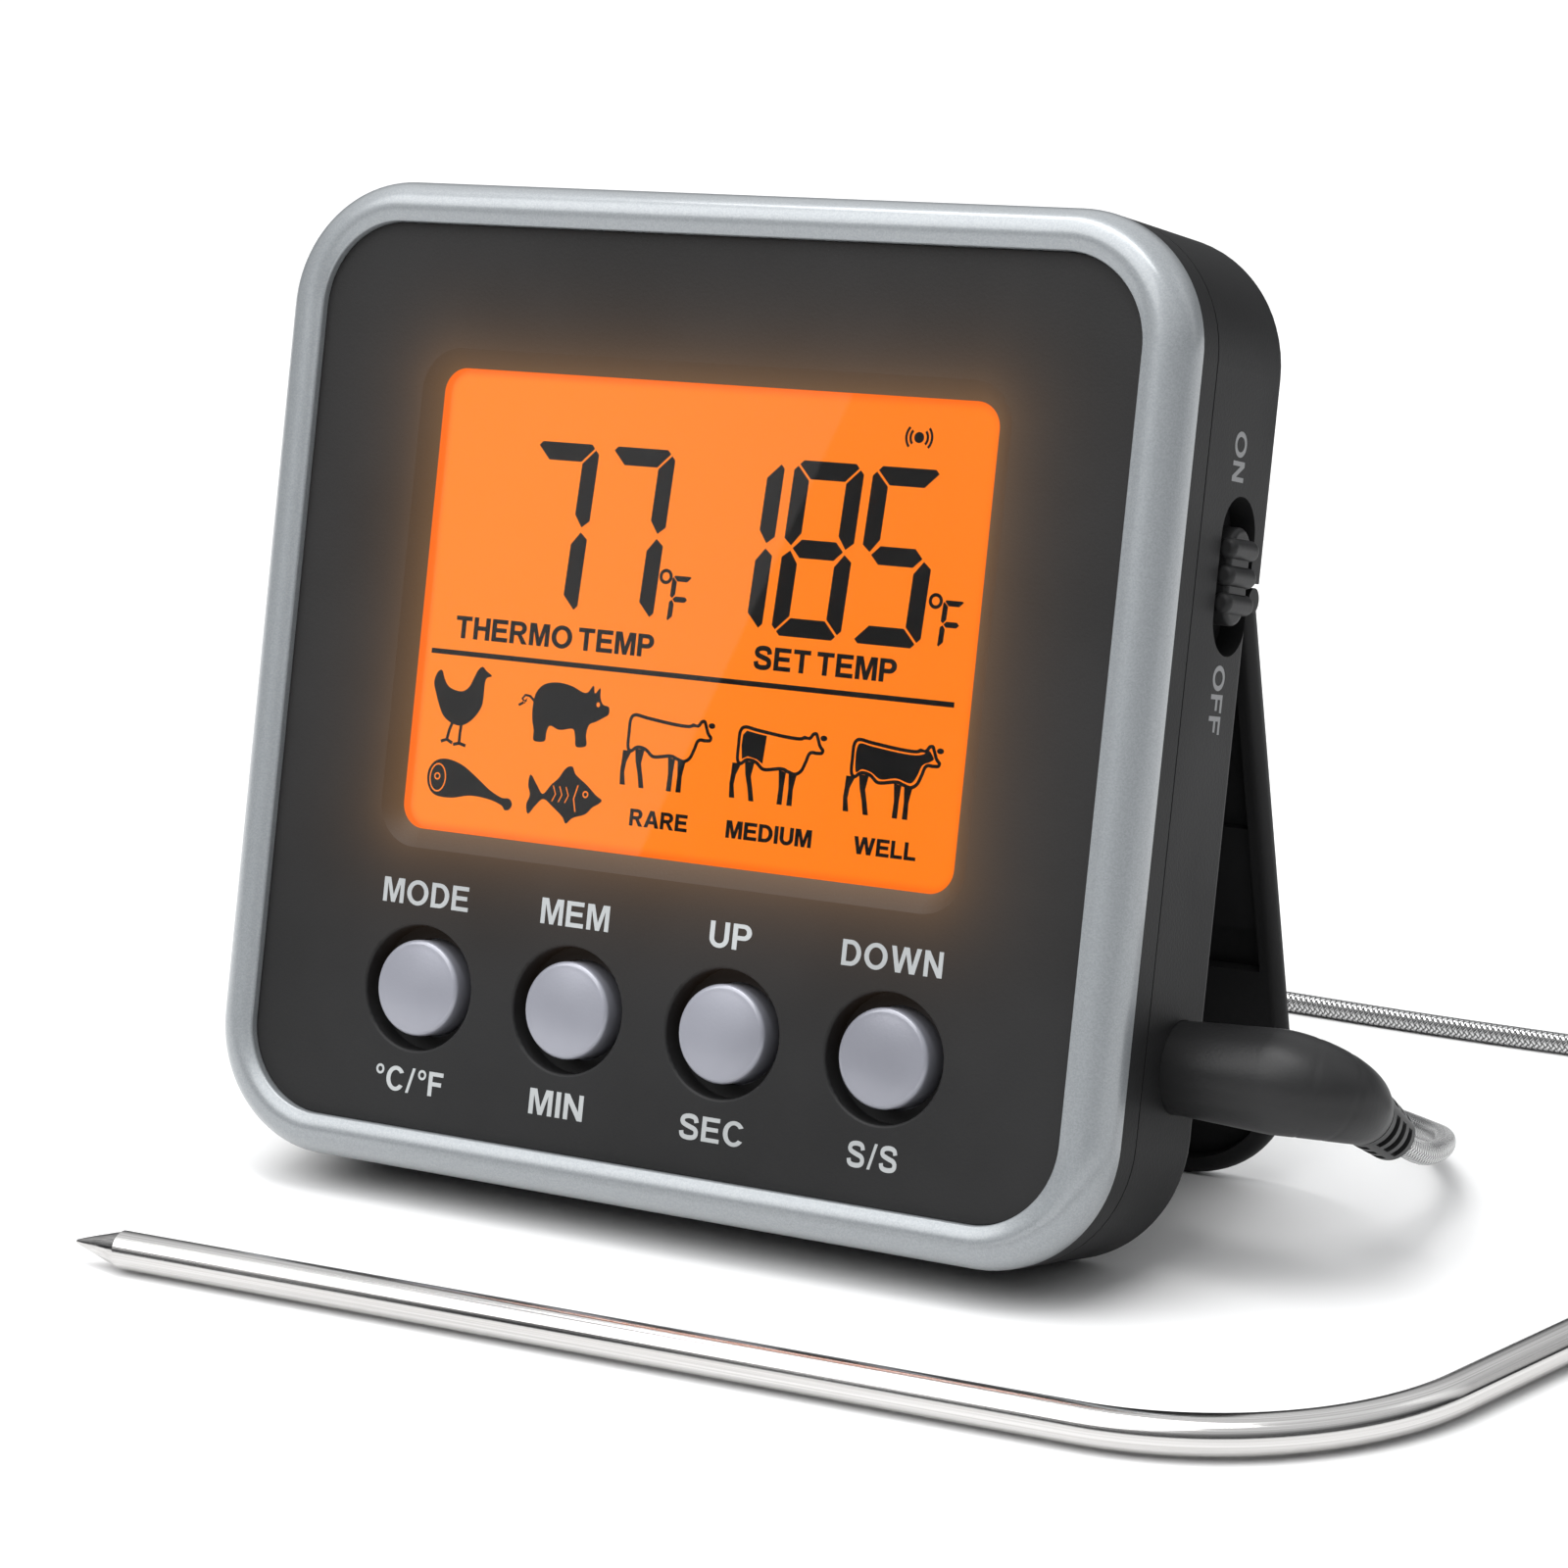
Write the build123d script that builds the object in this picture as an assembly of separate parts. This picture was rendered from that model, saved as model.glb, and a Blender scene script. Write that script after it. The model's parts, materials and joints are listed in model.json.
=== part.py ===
from build123d import *
from math import acos, cos, degrees, pi, radians, sin, tan
import os

# Kitchen probe thermometer: a flat timer-sized case that leans on a fold-out stand, with a
# steel probe on a braided lead that plugs into its right side.  Millimetres.
# The case is drawn upright: x to the right, y into its depth with the fascia plane at 0, and
# z up with the fascia centre at 0.  stand_up() then leans it back onto its stand.

# ---- driving dimensions --------------------------------------------------------------------
CASE_W = 80.8
CASE_H = 78.8
CASE_R = 10.5
REAR_TOP = 16.95          # depth of the rear face above the stand recess
REAR_LOW = 15.0           # depth of the rear face inside the stand recess
WALL = 1.8
REAR_WALL = 1.5
EDGE_R = 1.0              # rounding of the case's rear edges
LEAN = 13.8               # degrees that the case leans back

PANEL_W = 73.2
PANEL_H = 71.9
PANEL_R = 6.95
PANEL_T = 1.6
RING_PROUD = 1.0
RING_BACK = 2.1
RING_ROUND = 2.7
SEAM = 4.7                # depth of the parting line between the two case halves
GAP = 0.1                 # general assembly clearance

WINDOW_W = 50.0
WINDOW_H = 36.9
WINDOW_R = 2.0
WINDOW_Z = 6.25
BEVEL = 1.5
LENS_Y = 1.0
LENS_T = 0.8

BUTTON_PITCH = 14.14
BUTTON_Z = -24.8
BUTTON_R = 3.83
BUTTON_PROUD = 0.3
BUTTON_TRAVEL = 0.5
WELL_R = 5.0
WELL_FLOOR = 2.2
WELL_FLOOR_T = 0.8

BOARD_Y = 7.4
BOARD_T = 1.0

CELL_R = 5.2
CELL_L = 43.3
BAY_W = 50.4
BAY_Z0 = 15.0
BAY_Z1 = 36.6
BAY_FLOOR = 5.3
DOOR_T = 0.95

SLOT_Y = 11.5
SLOT_Z = 13.65
SLOT_L = 12.0
SLOT_W = 6.0
SLOT_FLOOR_X = 38.4
KNOB_L = 7.4
KNOB_W = 3.6
KNOB_RIB_R = 0.8
KNOB_RIB_L = 4.6

JACK_Y = 11.0
JACK_Z = -23.2
JACK_HOLE_R = 3.6
PLUG_PIN_R = 1.25

STAND_T = 1.9
STAND_W = 80.4
STAND_LEN = 50.55         # from the hinge axis to the end of the foot
STAND_RIM = 1.6
STAND_POCKET = 1.0
RECESS_Z = 13.4           # lower edge of the full-depth part of the rear face
HINGE_Z = 12.15
HINGE_X = 22.0
KNUCKLE_W = 7.0
HINGE_PIN_R = 0.5

CABLE_D = 1.8
PROBE_R = 1.5
COLLAR_R = 1.75
FLOOR_LAY = CABLE_D / 2   # height of the lead's centre line where it lies on the table

# ---- worked out ----------------------------------------------------------------------------
LEAN_COS = cos(radians(LEAN))
LEAN_SIN = sin(radians(LEAN))
HINGE_Y = REAR_LOW + 0.05 + STAND_T / 2
# the case stands on the rounded lower rear edge
RISE = (REAR_LOW - EDGE_R) * LEAN_SIN + (CASE_H / 2 - EDGE_R) * LEAN_COS + EDGE_R


def place(x, y, z):
    """Where a point of the upright case is once the case leans on its stand."""
    return Vector(x, y * LEAN_COS + z * LEAN_SIN, z * LEAN_COS - y * LEAN_SIN + RISE)


def stand_up(shape):
    """Lean a shape of the upright case back onto the table."""
    return Pos(0, 0, RISE) * Rot(X=-LEAN) * shape


# the stand opens until its round foot touches the table
HINGE_AT = place(0, HINGE_Y, HINGE_Z)
FOOT_R = STAND_T / 2
STAND_TILT = degrees(acos((HINGE_AT.Z - FOOT_R) / (STAND_LEN - FOOT_R)))
STAND_OPEN = STAND_TILT + LEAN

made = {}


def keep(name, shape):
    """Name one finished sub-part."""
    made[name] = shape


def slab(sketch, y0, y1):
    """A sketch drawn in x and z, given depth from y0 to y1."""
    return Rot(X=90) * Pos(0, 0, -y1) * extrude(sketch, y1 - y0)


def plate(width, height, radius, y0, y1, x=0.0, z=0.0):
    return slab(Pos(x, z) * RectangleRounded(width, height, radius), y0, y1)


def block(x0, x1, y0, y1, z0, z1):
    return Pos((x0 + x1) / 2, (y0 + y1) / 2, (z0 + z1) / 2) * Box(x1 - x0, y1 - y0, z1 - z0)


def rod_y(radius, y0, y1, x, z):
    return Pos(x, (y0 + y1) / 2, z) * Rot(X=90) * Cylinder(radius, y1 - y0)


def rod_x(radius, x0, x1, y, z):
    return Pos((x0 + x1) / 2, y, z) * Rot(Y=90) * Cylinder(radius, x1 - x0)


# ---- front: bezel, fascia and window -------------------------------------------------------
def bezel_ring():
    """Painted ring: rounded outside, standing proud of the fascia."""
    ring = plate(CASE_W, CASE_H, CASE_R, -RING_PROUD, RING_BACK)
    front = ring.edges().filter_by_position(Axis.Y, -RING_PROUD - 0.01, -RING_PROUD + 0.01)
    ring = fillet(front, RING_ROUND)
    ring -= plate(PANEL_W + GAP, PANEL_H + GAP, PANEL_R, -2, RING_BACK + 1)
    lip = ring.edges().filter_by_position(Axis.Y, -RING_PROUD - 0.01, -RING_PROUD + 0.01)
    inner = [e for e in lip if abs(e.center().X) < PANEL_W / 2 + 1 and abs(e.center().Z) < PANEL_H / 2 + 1]
    return fillet(inner, 0.25) if inner else ring


def button_places():
    return [((i - 1.5) * BUTTON_PITCH, BUTTON_Z) for i in range(4)]


def front_panel():
    """Dark fascia with a bevelled window and four button wells."""
    panel = plate(PANEL_W, PANEL_H, PANEL_R, 0, PANEL_T)
    for x, z in button_places():
        panel += rod_y(WELL_R + 1.2, PANEL_T - 0.1, WELL_FLOOR + WELL_FLOOR_T, x, z)
    for x, z in button_places():
        panel -= rod_y(WELL_R, -1, WELL_FLOOR, x, z)
        panel -= rod_y(BUTTON_R + 0.15, -1, WELL_FLOOR + 2, x, z)
    rims = [e for e in panel.edges().filter_by(GeomType.CIRCLE) if abs(e.center().Y) < 0.01 and e.radius < WELL_R + 0.1]
    panel = fillet([e for e in rims if e.radius > WELL_R - 0.1], 0.25)
    wide = Pos(0, WINDOW_Z) * RectangleRounded(WINDOW_W + 2 * BEVEL, WINDOW_H + 2 * BEVEL, WINDOW_R + BEVEL)
    bevel = loft([Pos(0, 0, 0) * wide, Pos(0, WINDOW_Z, -LENS_Y) * RectangleRounded(WINDOW_W, WINDOW_H, WINDOW_R)])
    panel -= Rot(X=90) * bevel
    panel -= plate(WINDOW_W, WINDOW_H, WINDOW_R, 0, PANEL_T + 1, z=WINDOW_Z)
    panel -= plate(WINDOW_W + 2.5, WINDOW_H + 2.5, WINDOW_R, LENS_Y, PANEL_T + 1, z=WINDOW_Z)
    return panel


keep("bezel_ring", stand_up(bezel_ring()))
keep("front_panel", stand_up(front_panel()))
lens = plate(WINDOW_W + 2.3, WINDOW_H + 2.3, WINDOW_R, LENS_Y, LENS_Y + LENS_T, z=WINDOW_Z)
keep("window_lens", stand_up(lens))

# ---- display stack behind the window -------------------------------------------------------
GLASS_Y0 = LENS_Y + LENS_T + 0.05
GLASS_Y1 = GLASS_Y0 + 1.6
LIGHT_Y1 = GLASS_Y1 + 0.05 + 1.2
GLASS_W = 55.0
GLASS_H = 42.5
LIGHT_H = 39.0
STRIP_Z = WINDOW_Z - GLASS_H / 2 + 0.8

keep("lcd_glass", stand_up(plate(GLASS_W, GLASS_H, 0.5, GLASS_Y0, GLASS_Y1, z=WINDOW_Z)))
light = plate(GLASS_W - 0.4, LIGHT_H, 0.5, GLASS_Y1 + 0.05, LIGHT_Y1, z=WINDOW_Z + 0.6)
keep("lcd_backlight", stand_up(light))
frame = plate(GLASS_W + 3.5, GLASS_H + 3.5, 1.5, PANEL_T + 0.05, LIGHT_Y1 + 0.05, z=WINDOW_Z)
frame -= plate(GLASS_W + 0.3, GLASS_H + 0.3, 0.5, 0, 9, z=WINDOW_Z)
keep("display_frame", stand_up(frame))
strip = block(-22.5, 22.5, GLASS_Y1 + 0.02, BOARD_Y - 0.02, STRIP_Z - 0.7, STRIP_Z + 0.7)
keep("zebra_strip", stand_up(strip))

# ---- buttons and their switches ------------------------------------------------------------
FLANGE_Y0 = WELL_FLOOR + WELL_FLOOR_T + 0.05
FLANGE_Y1 = FLANGE_Y0 + 0.4
KEY_Y0 = FLANGE_Y1 + BUTTON_TRAVEL + 0.15


def button(x, z):
    """Crowned cap, retaining flange and the stem that works the key switch."""
    crown_r = 22.0
    cap = rod_y(BUTTON_R, -BUTTON_PROUD - 0.2, FLANGE_Y0, x, z)
    cap &= Pos(x, crown_r - BUTTON_PROUD - 0.2, z) * Sphere(crown_r)
    rim = cap.edges().sort_by(Axis.Y)[0]
    cap = fillet(rim, 0.35)
    cap += rod_y(BUTTON_R + 0.75, FLANGE_Y0, FLANGE_Y1, x, z)
    return cap + rod_y(1.2, FLANGE_Y1, KEY_Y0 + 0.8, x, z)


def key_switch(x, z):
    """Board switch: a square housing with a hole for the button's stem."""
    body = block(x - 3, x + 3, KEY_Y0, BOARD_Y - 0.02, z - 3, z + 3)
    return body - rod_y(1.4, KEY_Y0 - 1, KEY_Y0 + 0.8 + BUTTON_TRAVEL + 0.3, x, z)


BUTTON_NAMES = ["mode", "mem", "up", "down"]
for name, (bx, bz) in zip(BUTTON_NAMES, button_places()):
    keep(f"button_{name}", stand_up(button(bx, bz)))
    keep(f"key_switch_{name}", stand_up(key_switch(bx, bz)))

# ---- case halves ---------------------------------------------------------------------------
SCREW_X = 33.0
SCREW_TOP_Z = 33.0
SCREW_LOW_Z = -32.5
SCREW_SEATS = [(-SCREW_X, SCREW_TOP_Z, REAR_TOP), (SCREW_X, SCREW_TOP_Z, REAR_TOP),
               (-SCREW_X, SCREW_LOW_Z, REAR_LOW), (SCREW_X, SCREW_LOW_Z, REAR_LOW)]
HEAD_DEPTH = 2.2
BOSS_SPLIT = 8.5
INNER_W = CASE_W - 2 * WALL
INNER_H = CASE_H - 2 * WALL
INNER_R = CASE_R - WALL


def front_case():
    """Dark frame behind the bezel: carries the fascia on an inner flange."""
    case = plate(CASE_W, CASE_H, CASE_R, RING_BACK + 0.02, SEAM - 0.08)
    case += plate(PANEL_W - 0.3, PANEL_H - 0.3, PANEL_R, PANEL_T + 0.02, RING_BACK + 0.5)
    case -= plate(PANEL_W - 3.2, PANEL_H - 3.2, PANEL_R - 1.5, 0, 9)
    case -= plate(INNER_W, INNER_H, INNER_R, RING_BACK + 1.0, 9)
    for x, z, _ in SCREW_SEATS:
        case += rod_y(2.6, RING_BACK + 0.5, BOSS_SPLIT, x, z)
        case -= rod_y(1.0, RING_BACK + 1.2, BOSS_SPLIT + 1, x, z)
    return case


def hinge_knuckle(x):
    """Block on the rear face that carries one hinge pin."""
    barrel = rod_x(STAND_T / 2, x - KNUCKLE_W / 2, x + KNUCKLE_W / 2, HINGE_Y, HINGE_Z)
    web = block(x - KNUCKLE_W / 2, x + KNUCKLE_W / 2, REAR_LOW - 0.2, HINGE_Y, HINGE_Z, RECESS_Z + 0.2)
    return barrel + web


def rear_case():
    """Rear shell with battery bay, stand recess, switch slot, plug hole and hinge knuckles."""
    case = plate(CASE_W, CASE_H, CASE_R, SEAM + 0.07, REAR_TOP)
    case -= block(-60, 60, REAR_LOW, 30, -60, RECESS_Z)
    back = case.edges().filter_by_position(Axis.Y, REAR_TOP - 0.01, REAR_TOP + 0.01)
    back += case.edges().filter_by_position(Axis.Y, REAR_LOW - 0.01, REAR_LOW + 0.01)
    back = [e for e in back if e.length > 1 and not (abs(e.center().Y - REAR_LOW) < 0.1 and e.center().Z > 0 and
            abs(e.center().X) < 30)]
    case = fillet(back, EDGE_R * 0.95) if back else case
    case -= plate(INNER_W, INNER_H, INNER_R, 0, REAR_LOW - REAR_WALL)
    upper = plate(INNER_W, INNER_H, INNER_R, 0, REAR_TOP - REAR_WALL)
    case -= upper & block(-60, 60, 0, 30, RECESS_Z + REAR_WALL, 60)
    # tongue that laps inside the front half
    tongue = plate(INNER_W - 0.2, INNER_H - 0.2, INNER_R - 0.1, SEAM - 0.8, SEAM + 1.5)
    tongue -= plate(INNER_W - 1.8, INNER_H - 1.8, INNER_R - 0.9, 0, 9)
    case += tongue & plate(INNER_W, INNER_H, INNER_R, 0, 9)
    case += plate(CASE_W - 1, CASE_H - 1, CASE_R - 0.5, SEAM + 0.5, SEAM + 1.5) \
        - plate(INNER_W - 1.0, INNER_H - 1.0, INNER_R - 0.5, 0, 9)
    # battery bay
    bay = block(-BAY_W / 2 - 1, BAY_W / 2 + 1, BAY_FLOOR - 0.4, REAR_TOP - 1.2, BAY_Z0 - 1, CASE_H / 2 - 1)
    case += bay
    case -= block(-BAY_W / 2, BAY_W / 2, BAY_FLOOR, 30, BAY_Z0, BAY_Z1)
    case -= plate(BAY_W + 2.2, BAY_Z1 - BAY_Z0 + 1.2, 0.3, REAR_TOP - DOOR_T, 30, z=(BAY_Z0 + BAY_Z1) / 2)
    case -= block(-4, 4, REAR_TOP - 3.2, 30, BAY_Z1 - 0.1, BAY_Z1 + 1.3)
    # switch recess with its inner pad and slot
    case += block(SLOT_FLOOR_X - 1.2, CASE_W / 2 - 1, SLOT_Y - 3.9, REAR_LOW - 0.5, SLOT_Z - 6.8, SLOT_Z + 6.8)
    recess = Pos(0, 0, SLOT_FLOOR_X) * extrude(SlotOverall(SLOT_L, SLOT_W), 5)
    case -= Pos(0, SLOT_Y, SLOT_Z) * Rot(Y=90) * recess
    case -= block(30, 39, SLOT_Y - 1.2, SLOT_Y + 1.2, SLOT_Z - 4.9, SLOT_Z + 4.9)
    # plug hole and screw seats
    case -= rod_x(JACK_HOLE_R, 36, 45, JACK_Y, JACK_Z)
    for x, z, seat in SCREW_SEATS:
        case += rod_y(2.8, BOSS_SPLIT + 0.05, seat - 1.0, x, z)
        case -= rod_y(2.1, seat - HEAD_DEPTH, seat + 1, x, z)
        case -= rod_y(1.1, BOSS_SPLIT - 1, seat, x, z)
    for side in (-1, 1):
        case += hinge_knuckle(side * HINGE_X)
        case -= rod_x(HINGE_PIN_R + 0.05, side * HINGE_X - 5, side * HINGE_X + 5, HINGE_Y, HINGE_Z)
    return case


keep("front_case", stand_up(front_case()))
keep("rear_case", stand_up(rear_case()))

screws = []
for sx, sz, seat in SCREW_SEATS:
    screw = rod_y(1.9, seat - HEAD_DEPTH, seat - HEAD_DEPTH + 1.4, sx, sz)
    screw += rod_y(0.95, RING_BACK + 1.6, seat - HEAD_DEPTH, sx, sz)
    slot_y = seat - HEAD_DEPTH + 1.4
    for long_x, long_z in ((1.0, 0.2), (0.2, 1.0)):
        screw -= block(sx - long_x, sx + long_x, slot_y - 0.6, slot_y + 1, sz - long_z, sz + long_z)
    screws.append(stand_up(screw))
keep("case_screws", Compound(screws))

# ---- circuit board and what is on it -------------------------------------------------------
board = plate(71.0, 49.0, 3.0, BOARD_Y, BOARD_Y + BOARD_T, z=-12.0)
board += block(26.5, 35.5, BOARD_Y, BOARD_Y + BOARD_T, 0, 21.0)
for sx, sz, _ in SCREW_SEATS:
    board -= rod_y(3.4, 0, 20, sx, sz)
keep("circuit_board", stand_up(board))
BOARD_BACK = BOARD_Y + BOARD_T + 0.02
blob = rod_y(5.0, BOARD_BACK, BOARD_BACK + 1.6, 6.0, -8.0)
blob = fillet(blob.edges().sort_by(Axis.Y)[-1], 1.2)
keep("controller_blob", stand_up(blob))
keep("buzzer", stand_up(rod_y(9.0, BOARD_BACK, BOARD_BACK + 3.2, -20.0, -10.0) -
                        rod_y(1.2, BOARD_BACK + 1.0, BOARD_BACK + 4, -20.0, -10.0)))

# ---- power switch --------------------------------------------------------------------------
SWITCH_TRAVEL = 2.0
switch_box = block(33.2, SLOT_FLOOR_X - 1.3, BOARD_BACK, SLOT_Y + 1.9, SLOT_Z - 5.1, SLOT_Z + 5.1)
switch_box -= block(35.0, 39.0, SLOT_Y - 1.0, SLOT_Y + 1.0, SLOT_Z - 3.6, SLOT_Z + 3.6)
keep("power_switch_body", stand_up(switch_box))


def switch_knob():
    """Thumb slider: a round-ended pad, three wider round cross ribs and a stem into the switch."""
    pad = extrude(SlotOverall(KNOB_L, KNOB_W), 2.3)
    knob = Pos(SLOT_FLOOR_X + 0.08, SLOT_Y, SLOT_Z) * Rot(Y=90) * fillet(pad.edges().group_by(Axis.Z)[-1], 0.4)
    bar = Rot(X=90) * Cylinder(KNOB_RIB_R, KNOB_RIB_L)
    bar = fillet(bar.edges().filter_by(GeomType.CIRCLE), 0.45)
    for i in (-1, 0, 1):
        knob += Pos(SLOT_FLOOR_X + 2.15, SLOT_Y, SLOT_Z + 2.05 * i) * bar
    return knob + block(35.4, SLOT_FLOOR_X + 0.3, SLOT_Y - 0.85, SLOT_Y + 0.85, SLOT_Z - 1.3, SLOT_Z + 1.3)


keep("power_switch_knob", stand_up(switch_knob()))

# ---- batteries, contacts and door ----------------------------------------------------------
CELL_Y = BAY_FLOOR + 0.1 + CELL_R
CELL_Z = [BAY_Z0 + 0.2 + CELL_R, BAY_Z1 - 0.2 - CELL_R]
PLATE_T = 0.3
SPRING_WIRE_R = 0.58
plates = []
springs = []
for i, cz in enumerate(CELL_Z):
    way = 1 if i == 0 else -1
    nub = 0.8
    body = rod_x(CELL_R, -CELL_L / 2, CELL_L / 2, CELL_Y, cz)
    cell = body + rod_x(1.9, CELL_L / 2 if way > 0 else -CELL_L / 2 - nub,
                        CELL_L / 2 + nub if way > 0 else -CELL_L / 2, CELL_Y, cz)
    cell = Pos(way * 1.7, 0, 0) * cell
    keep(f"battery_{i + 1}", stand_up(cell))
    for side in (-1, 1):
        edge = side * (BAY_W / 2 - PLATE_T / 2 - 0.02)
        plates.append(stand_up(block(edge - PLATE_T / 2, edge + PLATE_T / 2, CELL_Y - 4, CELL_Y + 4, cz - 4, cz + 4)))
    # conical contact spring against the cell's flat end
    x_plate = -way * (BAY_W / 2 - PLATE_T - 0.04)
    spring = None
    for k in range(5):
        at = x_plate + way * (SPRING_WIRE_R + 0.04 + 0.915 * k)
        coil = Pos(at, CELL_Y, cz) * Rot(Y=90) * Torus(3.5 - 0.45 * k, SPRING_WIRE_R)
        spring = coil if spring is None else spring + coil
    springs.append(spring)
keep("contact_plates", Compound(plates))
keep("contact_springs", Compound([stand_up(s) for s in springs]))

DOOR_Z0 = BAY_Z0 - 0.6 + 0.15
DOOR_Z1 = BAY_Z1 + 0.6 - 0.15
DOOR_PIVOT_Z = DOOR_Z0 + DOOR_T / 2
DOOR_PIVOT_Y = REAR_TOP - DOOR_T / 2


def battery_door():
    """Lid over the cells: round lower edge that it turns on, snap tongue at the top."""
    door = block(-BAY_W / 2 - 0.95, BAY_W / 2 + 0.95, REAR_TOP - DOOR_T + 0.03, REAR_TOP, DOOR_PIVOT_Z, DOOR_Z1)
    door += rod_x(DOOR_T / 2 - 0.02, -BAY_W / 2 - 0.95, BAY_W / 2 + 0.95, DOOR_PIVOT_Y, DOOR_PIVOT_Z)
    door += block(-3.6, 3.6, REAR_TOP - 2.9, REAR_TOP - DOOR_T + 0.1, BAY_Z1 - 0.9, BAY_Z1 - 0.1)
    for i in range(5):
        groove_z = DOOR_Z1 - 2.6 - 1.1 * i
        door -= block(-6, 6, REAR_TOP - 0.25, REAR_TOP + 1, groove_z - 0.25, groove_z + 0.25)
    return door


keep("battery_door", stand_up(battery_door()))

# ---- probe jack ----------------------------------------------------------------------------
jack = block(26.0, 38.4, BOARD_BACK, REAR_LOW - REAR_WALL - 0.1, JACK_Z - 3.4, JACK_Z + 3.4)
jack -= rod_x(PLUG_PIN_R + 0.06, 26.9, 45, JACK_Y, JACK_Z)
keep("jack_socket", stand_up(jack))

# ---- stand ---------------------------------------------------------------------------------
MAGNET_R = 5.0
MAGNET_T = 1.0
MAGNET_X = 18.0
MAGNET_Z = HINGE_Z - 38.2


def stand():
    """Shallow tray leg, drawn folded against the case and then swung open about its hinge."""
    y0 = HINGE_Y - STAND_T / 2
    y1 = HINGE_Y + STAND_T / 2
    foot_z = HINGE_Z - STAND_LEN
    height = STAND_LEN
    outline = Pos(0, HINGE_Z - height / 2) * Rectangle(STAND_W, height)
    corners = outline.vertices().sort_by(Axis.Y)[:2]
    outline = fillet(corners, CASE_R)
    leg = slab(outline, y0, y1)
    low = [e for e in leg.edges() if e.center().Z < foot_z + CASE_R + 0.1 and
           abs(e.center().Y - HINGE_Y) > STAND_T / 2 - 0.05]
    leg = fillet(low, STAND_T / 2 - 0.05)
    leg += rod_x(STAND_T / 2, -STAND_W / 2, STAND_W / 2, HINGE_Y, HINGE_Z)
    # tray pocket facing the case, with a cross pad and the magnet housing left standing
    inner = Pos(0, HINGE_Z - height / 2 - 0.6) * Rectangle(STAND_W - 2 * STAND_RIM, height - 2 * STAND_RIM - 1.2)
    inner = fillet(inner.vertices().sort_by(Axis.Y)[:2], CASE_R - STAND_RIM)
    pocket = slab(inner, y0 - 1, y0 + STAND_POCKET)
    pocket -= block(-50, 50, y0 + 0.45, y1, HINGE_Z - 27.6, HINGE_Z - 19.0)
    pocket -= block(-50, 50, y0, y1, HINGE_Z - 45.2, HINGE_Z - 31.1)
    leg -= pocket
    for side in (-1, 1):
        x = side * HINGE_X
        leg -= block(x - KNUCKLE_W / 2 - 0.2, x + KNUCKLE_W / 2 + 0.2, y0 - 1, y1 + 1, HINGE_Z - 1.35, HINGE_Z + 3)
        leg -= rod_x(HINGE_PIN_R + 0.02, x - 6.6, x + 6.6, HINGE_Y, HINGE_Z)
        leg -= rod_y(MAGNET_R + 0.05, y0 - 1, y0 + MAGNET_T + 0.05, side * MAGNET_X, MAGNET_Z)
    return leg


def swing_open(shape):
    hinge = Pos(0, HINGE_Y, HINGE_Z)
    return stand_up(hinge * Rot(X=STAND_OPEN) * hinge.inverse() * shape)


keep("stand", swing_open(stand()))
magnets = [swing_open(rod_y(MAGNET_R, HINGE_Y - STAND_T / 2, HINGE_Y - STAND_T / 2 + MAGNET_T,
                            side * MAGNET_X, MAGNET_Z)) for side in (-1, 1)]
keep("stand_magnets", Compound(magnets))
for side, name in ((-1, "left"), (1, "right")):
    pin = rod_x(HINGE_PIN_R, side * HINGE_X - 6.5, side * HINGE_X + 6.5, HINGE_Y, HINGE_Z)
    keep(f"hinge_pin_{name}", stand_up(pin))

# ---- plug: pin, elbow body and strain relief -----------------------------------------------
PLUG_AT = place(0, JACK_Y, JACK_Z)
PLUG_FACE_X = 38.6
ELBOW_X = 48.3
ELBOW_R = 4.6
DROOP = radians(31.5)
OUT = Vector(0, cos(DROOP), -sin(DROOP))   # the way the lead leaves the plug


def elbow_point(angle):
    """Centre of the plug's section at an angle round its elbow."""
    return Vector(ELBOW_X + ELBOW_R * sin(angle), PLUG_AT.Y, PLUG_AT.Z) + OUT * (ELBOW_R * (1 - cos(angle)))


def section(at, way, radius):
    return Plane(origin=at, z_dir=way) * Circle(radius)


ELBOW_END = elbow_point(radians(90))
RELIEF_AT = ELBOW_END + OUT * 1.7
RELIEF_END = RELIEF_AT + OUT * 6.4

barrel = loft([section(Vector(PLUG_FACE_X, PLUG_AT.Y, PLUG_AT.Z), Vector(1, 0, 0), 3.45),
               section(elbow_point(0), Vector(1, 0, 0), 3.95)])
turns = [(a, 3.95 - 1.1 * (a / 90) ** 1.6) for a in (0, 18, 36, 54, 72, 90)]
bend = loft([section(elbow_point(radians(a)), Vector(cos(radians(a)), 0, 0) + OUT * sin(radians(a)), r)
             for a, r in turns])
nose = loft([section(ELBOW_END, OUT, 2.85), section(RELIEF_AT, OUT, 2.5)])
keep("plug_body", barrel + bend + nose)
keep("strain_relief", loft([section(RELIEF_AT + OUT * 0.01, OUT, 2.4), section(RELIEF_END, OUT, 1.65)]))

plug_pin = Pos(0, PLUG_AT.Y, PLUG_AT.Z) * (rod_x(PLUG_PIN_R, 28.6, PLUG_FACE_X - 0.02, 0, 0))
plug_pin += Pos(28.6, PLUG_AT.Y, PLUG_AT.Z) * Rot(Y=-90) * Cone(PLUG_PIN_R, 0.7, 1.4, align=(Align.CENTER, Align.CENTER, Align.MIN))
keep("plug_pin", plug_pin)

# ---- lead: run on the table, coil, tie and run to the probe --------------------------------
COIL_X = 76.0
COIL_Y = 60.0
COIL_R = 10.0             # middle of the turns
COIL_COLUMNS = 3
COIL_ROWS = 4
COIL_LIFT = 0.5           # room for the tie under the turns

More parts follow.
